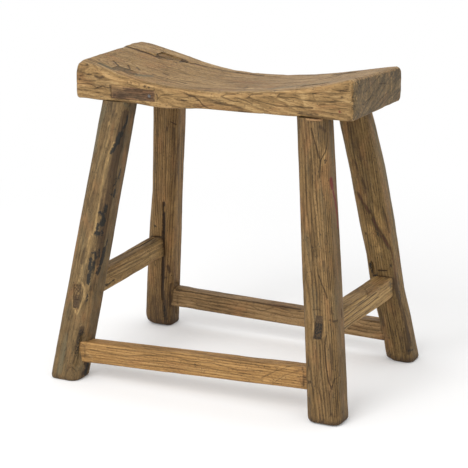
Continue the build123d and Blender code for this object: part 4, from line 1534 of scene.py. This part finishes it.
def leg_marks(mesh, from_arris, wear):
    """Rubbed arrises and sides, painted front light and neck shade, soil at feet and joints."""
    points, normals = read_mesh(mesh), read_mesh(mesh, "normal")
    height = points[:, 2]
    right, front = soft_step(*LEG_FACE, normals[:, 0]), soft_step(*LEG_FACE, -normals[:, 1])
    foot = SOLE_DIRT * hump(height, 0, SOLE_REACH) + wear.dirt * hump(height, 0, DIRT_REACH)
    # Painted shade: the wood just under the plank is darkened with the soil colour.
    neck = wear.neck * hump(height, SHOULDER, NECK_SHADE_REACH)
    rubbed = LEG_ARRIS * hump(from_arris, 0, LEG_RUBBED_REACH)
    # The front faces are lightened through the worn mark, as painted light.
    return {"worn": most(rubbed, wear.rubbing * front, LEG_RIGHT * right),
            "soil": most(LEG_JOINT * near_nodes(points, RAILS), foot, neck) + LEG_SOIL,
            "grey": wear.grey + LEG_RIGHT_GREY * right}


def mark_and_add(mesh, node, along, pith, broad, slot_name, finish_name=None):
    """Marks a piece whose pith lies this far from its middle, and adds it to the stool."""
    middle = grain_at(read_mesh(mesh), along, (0, 0)).mean(0)[1:]
    mark_points(mesh, node, along, middle + pith, broad)
    add_piece(mesh, node, slot_name, finish_name)


for leg, (mesh, from_arris) in leg_meshes.items():
    lean = (-LEGS[leg][0] * SPLAY[0], -LEGS[leg][1] * SPLAY[1], 1)
    wear = LEG_WEAR[leg]
    broad = leg_marks(mesh, from_arris, wear)
    mark_and_add(mesh, "leg_" + leg, lean, wear.pith, broad, "elm_legs", "elm_leg_" + leg)
print("legs marked:", len(leg_meshes))

# %% [markdown]
# ## Stretchers
# A stretcher is a plain bar with worn arrises. Its skin runs a little way into the legs, so that no
# gap opens where both are uneven, and its tenons are skins of their own.

# %% Slice and wear the stretchers
RAIL_COUNTS, TENON_COUNTS, TENON_STATIONS = (26, 20, 26, 20), (8, 12, 8, 12), 4
RAIL_SHOULDERS = {"stretcher_front": (-199, 196), "stretcher_back": (-196, 198),
                  "stretcher_left": (-107, 109), "stretcher_right": (-112, 112)}
RAIL_STEP, INTO_LEG, CLEAR_OF_SHOULDER, TENON_LEAN = 2.5 * MM, 14 * MM, 6 * MM, 5 * MM
RAIL_HEWING = Hewing((0.02, 0.1), 0.45, (0.009, 0.03), 0.2, (0.009, 0.03), 0.15, 1.2, 4 * MM)
RAIL_FULLNESS = 0.3
RAIL_SEED = 21


def rail_skin(rail, axis):
    """The body of a stretcher, drawn out into both legs, and the slope of its line."""
    near, far = (place * MM for place in RAIL_SHOULDERS[rail])
    count = int((far - near) / RAIL_STEP)
    stations = np.linspace(near + CLEAR_OF_SHOULDER, far - CLEAR_OF_SHOULDER, count)
    points, faces, from_arris = skin_of(rail, axis, stations, RAIL_COUNTS, shot=(False, False))
    first, last = (outline_at(rail, axis, place).mean(0) for place in (stations[0], stations[-1]))
    slope = np.insert((last - first) / (stations[-1] - stations[0]), axis, 1)
    share = (points[:, axis] - stations[0]) / (stations[-1] - stations[0]) * 2 - 1
    return (points + slope * (share * INTO_LEG)[:, None], faces, from_arris), slope


def rail_tenons(rail, axis):
    """Skins of the two tenons of a stretcher."""
    low, high = (corner[axis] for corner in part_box(rail))
    near, far = (place * MM for place in RAIL_SHOULDERS[rail])
    ends = ((low + TENON_LEAN, near - INTO_LEG, (True, False)),
            (far + INTO_LEG, high - TENON_LEAN, (False, True)))
    return [skin_of(rail, axis, np.linspace(start, end, TENON_STATIONS), TENON_COUNTS, shot)
            for start, end, shot in ends]


def hewing_along(axis):
    """A stretcher's hewing, with its lumps drawn out along it."""
    sizes = RAIL_HEWING._asdict()
    for name in ("long", "short", "chip"):
        width, length = sizes[name]
        sizes[name] = [length if way == axis else width for way in range(3)]
    return Hewing(**sizes)


def make_rail(rail, axis, seed):
    """A worn stretcher, its distances from an arris and the slope of its line."""
    (points, faces, from_arris), slope = rail_skin(rail, axis)
    tenons = rail_tenons(rail, axis)
    whole = joined((points, faces), *[tenon[:2] for tenon in tenons])
    mesh = mesh_of(rail + "_skin", *whole)
    from_arris = np.concatenate([from_arris, *[tenon[2] for tenon in tenons]])
    seeds = seed, seed + 1, seed + 2
    push = hewn(whole[0], from_arris, hewing_along(axis), seeds) + RAIL_FULLNESS
    push[len(points):] = 0
    move_mesh(mesh, push * MM)
    press(mesh, rail)
    return mesh, from_arris, slope


rail_meshes = {rail: make_rail(rail, axis, seed)
               for seed, (rail, axis) in enumerate(RAILS.items(), RAIL_SEED)}
print("stretcher faces", {rail: len(mesh.polygons) for rail, (mesh, _, _) in rail_meshes.items()})

# %% [markdown]
# The tenon ends that show in the front legs are dark, and dirt lies along the tops of the
# stretchers and at their shoulders. Their undersides get the same dark colour as painted shade. The
# front one has been wiped clean by feet.

# %% Mark the stretchers
RailWear = namedtuple("RailWear", "finish pith soil shelf_soil end_soil grey end_soot")
# The fourth entry darkens the top of each stretcher with soil, and its underside as painted shade.
RAIL_WEAR = {
    "stretcher_front": RailWear("elm_front_rail", (14, 34), 0, 0.3, 0, 0, 0),
    "stretcher_back": RailWear("elm_back_rail", (-20, 30), 0.1, 0.3, 0, 0, 0),
    "stretcher_left": RailWear("elm_side_rails", (30, 12), 0.1, 0.48, 0.55, 0.25, 0),
    "stretcher_right": RailWear("elm_right_rail", (26, -24), 0.1, 0.3, 0.8, 0, 0.5),
}
RAIL_END, RAIL_END_FADES = 6 * MM, (-4 * MM, 1 * MM)
RAIL_JOINT, SHOULDER_SOIL, SHOULDER_REACH, LEVEL_FACE = 0.6, 0.34, 24 * MM, (0.3, 0.8)
RAIL_ARRIS, RAIL_RUBBED_REACH = 0.4, 3 * MM


def rail_marks(mesh, from_arris, rail, axis):
    """Rubbed arrises, soil on top and at shoulders, painted shade below, dark tenon ends."""
    points, wear = read_mesh(mesh), RAIL_WEAR[rail]
    outside = soft_step(*RAIL_END_FADES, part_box(rail)[0].y + RAIL_END - points[:, 1]) * (axis == 1)
    shoulders = sum(hump(points[:, axis], place * MM, SHOULDER_REACH)
                    for place in RAIL_SHOULDERS[rail])
    # Up-facing faces get soil, and down-facing ones get the same dark colour as painted shade.
    level_faces = soft_step(*LEVEL_FACE, np.abs(read_mesh(mesh, "normal")[:, 2]))
    joints = most(RAIL_JOINT * near_nodes(points, LEG_NODES), wear.end_soil * outside)
    return {"worn": RAIL_ARRIS * hump(from_arris, 0, RAIL_RUBBED_REACH) * (1 - outside),
            "soil": most(joints + wear.soil, SHOULDER_SOIL * shoulders, wear.shelf_soil * level_faces),
            "grey": wear.grey, "soot": wear.end_soot * outside}


for rail, (mesh, from_arris, slope) in rail_meshes.items():
    wear = RAIL_WEAR[rail]
    broad = rail_marks(mesh, from_arris, rail, RAILS[rail])
    mark_and_add(mesh, rail, slope, wear.pith, broad, "elm_rails", wear.finish)
print("stretchers marked:", len(rail_meshes))

# %% [markdown]
# ## Small pieces
# Wedges, keys, the repair and the shim are small and keep their CAD form, with finer faces so that
# they can be marked like the timbers they sit in. The nail keeps its node.

# %% Dress the small pieces
SMALL = ["wedge_" + leg for leg in LEGS] + ["key_left", "key_right", "edge_patch", "shoulder_shim"]
SmallWear = namedtuple("SmallWear", "slot along soil")
SMALL_WEAR = {
    "wedge": SmallWear("wedge_wood", (0, 0, 1), 0.3),
    "key": SmallWear("wedge_wood", (0, 1, 0), 0.7),
    "edge": SmallWear("patch_wood", (1, 0, 0), 0.2),
    "shoulder": SmallWear("shim_wood", (1, 0, 0), 0.2),
}
SMALL_PITH, SMALL_MOST_GREY = (9, 14), 0.3
FINE_EDGE, HALVINGS = 3 * MM, 5


def fine_mesh(node):
    """The CAD node with its long edges cut into short ones."""
    work = welded(node)
    for _ in range(HALVINGS):
        long_edges = [edge for edge in work.edges if edge.calc_length() > FINE_EDGE]
        if long_edges:
            bmesh.ops.subdivide_edges(work, edges=long_edges, cuts=1)
    mesh = bpy.data.meshes.new(node + "_worn")
    work.to_mesh(mesh)
    work.free()
    mesh.update()
    return mesh


for node in SMALL:
    wear = SMALL_WEAR[node.split("_")[0]]
    broad = {"soil": wear.soil, "grey": min(wear.soil, SMALL_MOST_GREY)}
    mark_and_add(fine_mesh(node), node, wear.along, SMALL_PITH, broad, wear.slot)
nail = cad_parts["patch_nail"]
nail.data.materials.clear()
nail.data.materials.append(finishes["wrought_iron"])
print(len(SMALL), "small pieces")

# %% [markdown]
# ## Floor and light
# The stool stands on a pale floor in even light from a bright room. One broad lamp stands high in
# front of it, a little to the left, so the front faces are clear, the right sides are a little
# darker, and a soft shadow lies behind. A sun would draw hard shadows that the photograph doesn't
# have. The floor turns plain white to the camera a little way out, like the backdrop that it stands
# for.

# %% Floor
FLOOR_SIDE = 6.0
FLOOR_COLOR, WHITE = rgb(.96, .96, .96), rgb(1, 1, 1)
WHITE_FROM, WHITE_EVERYWHERE = (0.7, 1.5), 0.1


def add_floor():
    finish = Finish("pale_floor")
    reach = finish.vector("LENGTH", finish.node("ShaderNodeTexCoord", output=3), output=1)
    paper = finish.node("ShaderNodeBsdfDiffuse", None, {"Color": FLOOR_COLOR})
    glow = finish.node("ShaderNodeEmission", None, {"Color": WHITE, "Strength": 1.0})
    white = finish.step(reach, *WHITE_FROM) * (1 - WHITE_EVERYWHERE) + WHITE_EVERYWHERE
    seen = finish.node("ShaderNodeLightPath")
    both = finish.node("ShaderNodeMixShader", None, {0: white * seen, 1: paper, 2: glow})
    finish.node("ShaderNodeOutputMaterial", None, {"Surface": both})
    corners = np.array([(-1, -1, 0), (1, -1, 0), (1, 1, 0), (-1, 1, 0)]) * FLOOR_SIDE
    mesh = mesh_of("floor", corners, [(0, 1, 2, 3)])
    mesh.materials.append(finish.material)
    floor = bpy.data.objects.new("floor", mesh)
    bpy.context.scene.collection.objects.link(floor)


add_floor()
print("floor", FLOOR_SIDE * 2, "m wide")

# %% Lamp and surroundings
LAMP_POWER, LAMP_SIDE, LAMP_PLACE, LAMP_TARGET = 37.0, 1.7, (-0.3, -2.05, 1.87), (0, 0, 0.3)
ROOM_LIGHT = 0.9
SEEN_DIRECTLY = ("Is Camera Ray", "Is Glossy Ray", "Is Transmission Ray")


def add_lamp():
    data = bpy.data.lights.new("soft_lamp", "AREA")
    data.shape, data.size, data.energy = "DISK", LAMP_SIDE, LAMP_POWER
    lamp = bpy.data.objects.new("soft_lamp", data)
    lamp.location = LAMP_PLACE
    lamp.rotation_euler = (Vector(LAMP_TARGET) - lamp.location).to_track_quat("-Z", "Y").to_euler()
    bpy.context.scene.collection.objects.link(lamp)


def light_room():
    """A room that is white where it is seen and a little dimmer as a light."""
    world = bpy.data.worlds.new("room")
    world.use_nodes = True
    tree = world.node_tree
    tree.nodes.clear()
    direct = 0.0
    for ray in SEEN_DIRECTLY:
        light_path = make_node(tree, "ShaderNodeLightPath", output=ray)
        direct = light_path.sum("MAXIMUM", light_path, direct)
    strength = ROOM_LIGHT + direct * (1 - ROOM_LIGHT)
    sky = make_node(tree, "ShaderNodeBackground", None, {"Color": WHITE, "Strength": strength})
    make_node(tree, "ShaderNodeOutputWorld", None, {"Surface": sky})
    bpy.context.scene.world = world


add_lamp()
light_room()
print("lamp", LAMP_POWER, "W, room", ROOM_LIGHT)

# %% [markdown]
# ## Finish
# Colours are shown as they are, without a film look.

# %% Show colours as they are
bpy.context.scene.view_settings.view_transform = "Standard"
